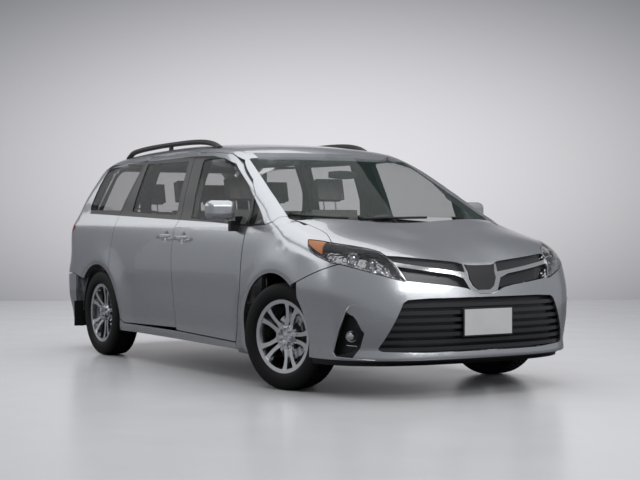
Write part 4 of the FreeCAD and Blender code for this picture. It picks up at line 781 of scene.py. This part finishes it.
strip = cord_of("gate_strip", [back_at(y, STRIP_UP) for y in STRIP_ACROSS], 0.009)
scaled(strip, everything, (1, 1, 1.6), (-2.45, 0, STRIP_UP))
done(strip, CHROME, "tailgate")
sweep = [back_at(y, z, "liftgate_glass", 0.012) for y, z in GATE_WIPER]
done(cord_of("gate_wiper", sweep, 0.008, 2), BLACK, "tailgate")
spot = back_at(0, PLATE_UP)
blank = start("cube", "rear_plate", (0.005, 0.31, 0.155), size=1, location=(spot.x - 0.002, 0, PLATE_UP))
inset(blank, looking("X", -1), 0.006)
bevelled(blank, 0.001)
done(blank, PLATE, "tailgate")
spot = back_at(*REFLECTOR, "rear_bumper")
reflector = start("cube", "reflector_right", (0.012, 0.13, 0.032), size=1,
                  location=(spot.x - 0.001, *REFLECTOR))
inset(reflector, looking("X", -1), 0.004)
bevelled(reflector, 0.002)
pair(reflector, RED, "body", "body")


# Roof rails: a thicker black cover over each bar, widened at its feet
RAIL_ACROSS = -0.66
RAIL_FEET = (-1.585, 0.065)
RAIL_PATH = [
    (-1.615, 1.672), (-1.590, 1.686), (-1.550, 1.704), (-1.450, 1.728), (-1.0, 1.749), (-0.60, 1.754),
    (-0.25, 1.750), (-0.05, 1.731), (0.050, 1.706), (0.100, 1.688),
]
rail_cover = cord_of("rail_cover_right", [(x, RAIL_ACROSS, z) for x, z in RAIL_PATH], 0.0185, 4)
for foot in RAIL_FEET:
    scaled(rail_cover, lambda v, foot=foot: abs(v.co.x - foot) < 0.06, (1, 1.25, 1),
           (foot, RAIL_ACROSS, 1.69))
pair(rail_cover, BLACK, "body", "body")


# Seats: crowned cushions with a pulled-in seam
SEAT_TILT = math.radians(-12)
POST_ACROSS = 0.055


def cushion(name, sizes, crown=0.016, pull=0.94):
    """A soft block about the origin: bulged faces, rounded edges, a seam round its top."""
    long, wide, high = sizes
    top = high / 2
    piece = start("cube", name, sizes, size=1, location=(0, 0, 0))
    divided(piece, 4)

    def on_top(share):
        return lambda v: v.co.z > top - 0.001 and abs(v.co.x) < long * share and abs(v.co.y) < wide * share

    def seam(face):
        across = abs(face.calc_center_median().y)
        return face.normal.z > 0.5 and abs(across - wide * 0.2) < wide * 0.06

    moved(piece, on_top(0.45), (0, 0, crown))
    moved(piece, on_top(0.25), (0, 0, -crown * 0.55))
    scaled(piece, lambda v: abs(v.co.z) < top * 0.5, (pull, pull, 1))
    inset(piece, seam, 0.006, depth=-0.006)
    bevelled(piece, 0.012, limit_method="ANGLE")
    smoothed(piece, 2)
    return piece


def chair(name, x, y, wide, floor, depth, back):
    """A seat on the floor: cushions on a frame, and a head restraint on two posts."""
    lean = Matrix.Rotation(SEAT_TILT, 3, "Y")
    upended = lean @ Matrix(((0, 0, 1), (0, 1, 0), (1, 0, 0)))
    hip = Vector((x, y, floor + 0.36))
    base = cushion(name + "_base", (depth - 0.01, wide, 0.15))
    base.location = (x + depth / 2 - 0.005, y, floor + 0.275)
    settle(base)
    rest = cushion(name + "_back", (back - 0.02, wide - 0.02, 0.125), 0.02)
    scaled(rest, lambda v: v.co.x > back * 0.15, (1, 0.86, 0.85))
    head = cushion(name + "_head", (0.17, 0.25, 0.085), 0.012, 0.97)
    for piece, up, back_by in ((rest, back / 2 - 0.05, -0.035), (head, back + 0.115, -0.05)):
        about(piece, hip + lean @ Vector((back_by, 0, up)), upended)
        turned_out(piece)
    leg = start("cube", name + "_frame", (depth - 0.14, 0.30, 0.20), size=1,
                location=(x + depth / 2, y, floor + 0.105))
    inset(leg, looking("Z", -1), 0.03)
    bevelled(leg, 0.01)
    for piece in (base, rest, head):
        done(piece, SEAT, "body", 60.0)
    posts = []
    for side in (-1, 1):
        foot, tip = [hip + lean @ Vector((-0.05, side * POST_ACROSS, up))
                     for up in (back - 0.06, back + 0.08)]
        posts.append(cord_of(f"{name}_post_{side + 2}", [foot, (foot + tip) / 2, tip], 0.006))
    post = merged(name + "_posts", *posts)
    done(post, CHROME, "body")
    done(leg, BLACK, "body", 30.0)
    return [base, rest, head, leg, post]


front = []
for side, word in ((-1, "right"), (1, "left")):
    front += chair(f"front_seat_{word}", 0.15, side * 0.40, 0.52, 0.310, 0.50, 0.62)
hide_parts("front_seats")
rear = []
for side, word in ((-1, "right"), (1, "left")):
    rear += chair(f"middle_seat_{word}", -0.75, side * 0.40, 0.50, 0.310, 0.50, 0.62)
    rear += chair(f"back_seat_{word}", -1.70, side * 0.33, 0.62, 0.375, 0.46, 0.55)
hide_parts("rear_seats")


# Wipers at the foot of the screen
FAR_WIPER = [(1.384, -0.800, 1.176), (1.447, -0.634, 1.158), (1.486, -0.52, 1.150), (1.507, -0.402, 1.147)]
NEAR_WIPER = [(1.500, -0.30, 1.146), (1.513, -0.10, 1.146), (1.515, 0.05, 1.147), (1.505, 0.26, 1.150)]
ARM_SHIFT = Vector((0.020, 0, -0.004))


def wiper(name, points):
    """A blade along the points, with its arm and knob just ahead of its first one."""
    blade = cord_of(name, points, 0.0085, 2)
    low, next_low = [Vector(place) + ARM_SHIFT for place in points[:2]]
    arm = cord_of(name + "_arm", [low, (low + next_low) / 2, points[1]], 0.011, 2)
    knob = start("cylinder", name + "_knob", vertices=24, radius=0.018, depth=0.026, location=low)
    inset(knob, looking("Z", 1), 0.004)
    bevelled(knob, 0.003)
    return merged(name, blade, arm, knob)


done(wiper("wiper_right", FAR_WIPER), BLACK, "body")
done(wiper("wiper_left", NEAR_WIPER), BLACK, "body")


# Interior mirror
MIRROR_SPOT = (0.80, 0, 1.47)
inner_mirror = start("cube", "inner_mirror", (0.022, 0.24, 0.062), size=1, location=MIRROR_SPOT)
divided(inner_mirror, 2)
scaled(inner_mirror, lambda v: abs(v.co.y) > 0.1, (1, 1, 0.75), MIRROR_SPOT)
bevelled(inner_mirror, 0.006)
done(inner_mirror, BLACK, "body")


# Camera at the photograph's place, as it was fitted to the photograph
PHOTO_WIDTH = 640.0
FOCAL_PIXELS = 1408.98
SENSOR = 36.0
camera_data = bpy.data.cameras.new("photo_camera")
camera = bpy.data.objects.new("photo_camera", camera_data)
scene.collection.objects.link(camera)
scene.camera = camera
yaw, pitch, roll = math.radians(148.527), math.radians(-0.6025), math.radians(0.1188)
ahead = Vector((math.cos(pitch) * math.cos(yaw), math.cos(pitch) * math.sin(yaw), math.sin(pitch)))
camera.location = (9.6677, -5.6263, 1.0965)
turn = ahead.to_track_quat("-Z", "Y").to_matrix()
camera.rotation_euler = (turn @ Matrix.Rotation(-roll, 3, "Z")).to_euler()
camera_data.sensor_width = SENSOR
camera_data.lens = SENSOR * FOCAL_PIXELS / PHOTO_WIDTH
camera_data.clip_end = 200.0

# Studio: a pale floor, a pale wall behind it, and soft lamps
WALL_WIDE, WALL_HIGH = 30.0, 12.0
WALL_AWAY = 20.6
GLOW_UP = 1.9
GLOW_WIDE, GLOW_HIGH = 5.4, 2.35


def floor_finish():
    """A floor that the camera sees pale, and all other rays dark."""
    made = Finish("studio_floor", (0.62, 0.62, 0.64), 0.28)
    made.set("Roughness", 0.20 + made.noise(2.0, 3.0) * 0.08)
    seen = made.node("ShaderNodeLightPath", "Is Camera Ray")
    made.set("Base Color", made.mix(seen, (0.16, 0.16, 0.17), (0.86, 0.86, 0.88)))
    return made


def wall_finish():
    """A glow that fades from its middle, and that can be seen through from behind."""
    made = Finish("studio_wall", (0, 0, 0), 1.0)
    x, y = made.axes("XY")
    aside = x * WALL_WIDE / GLOW_WIDE
    above = (y * WALL_HIGH + WALL_HIGH / 2 - GLOW_UP) / GLOW_HIGH
    glow = (1.0 - (aside * aside + above * above) * 0.34).within()
    made.set("Emission Color", made.mix(glow * glow, (0.16, 0.165, 0.18), (0.76, 0.75, 0.78)))
    made.set("Emission Strength", 1.0)
    clear = made.tree.nodes.new("ShaderNodeBsdfTransparent")
    blend = made.tree.nodes.new("ShaderNodeMixShader")
    behind = made.node("ShaderNodeNewGeometry", "Backfacing")
    feed(made.tree, blend.inputs[0], 1.0 - behind)
    made.tree.links.new(made.surface.outputs[0], blend.inputs[1])
    made.tree.links.new(clear.outputs[0], blend.inputs[2])
    made.tree.links.new(blend.outputs[0], made.tree.nodes["Material Output"].inputs[0])
    return made


def panel(name, place, aim, wide, long, power):
    """A soft lamp at a place, aimed at another."""
    data = bpy.data.lights.new(name, "AREA")
    data.shape = "RECTANGLE"
    data.size = wide
    data.size_y = long
    data.energy = power
    lamp = bpy.data.objects.new(name, data)
    scene.collection.objects.link(lamp)
    lamp.location = place
    lamp.rotation_euler = (Vector(aim) - Vector(place)).to_track_quat("-Z", "Y").to_euler()


def studio():
    floor = start("plane", "studio_floor", size=60.0, location=(0, 0, 0))
    floor.data.materials.append(floor_finish().material)

    upward = Vector((0, 0, 1))
    flat = Vector((ahead.x, ahead.y, 0)).normalized()
    centre = Vector((camera.location.x, camera.location.y, WALL_HIGH / 2)) + flat * WALL_AWAY
    wall = start("grid", "studio_wall", x_subdivisions=4, y_subdivisions=4, size=1)
    turn = Matrix((upward.cross(flat), upward, flat)).transposed()
    stretch = Matrix.Diagonal((WALL_WIDE, WALL_HIGH, 1, 1))
    wall.matrix_world = Matrix.Translation(centre) @ turn.to_4x4() @ stretch
    wall.data.materials.append(wall_finish().material)

    world = bpy.data.worlds.new("studio")
    scene.world = world
    world.use_nodes = True
    colour, strength = world.node_tree.nodes["Background"].inputs[:2]
    colour.default_value = (0.86, 0.88, 0.92, 1)
    strength.default_value = 0.34

    panel("top_light", (0.3, 0.0, 6.5), (0.3, 0.0, 0), 14.0, 9.0, 340)
    panel("front_light", (8.5, 1.5, 4.6), (1.8, 0, 0.8), 5.0, 2.0, 150)
    panel("side_light", (-5.5, -7.0, 4.6), (0, -0.8, 0.9), 13.0, 3.4, 115)


scene.view_settings.view_transform = "Standard"
studio()
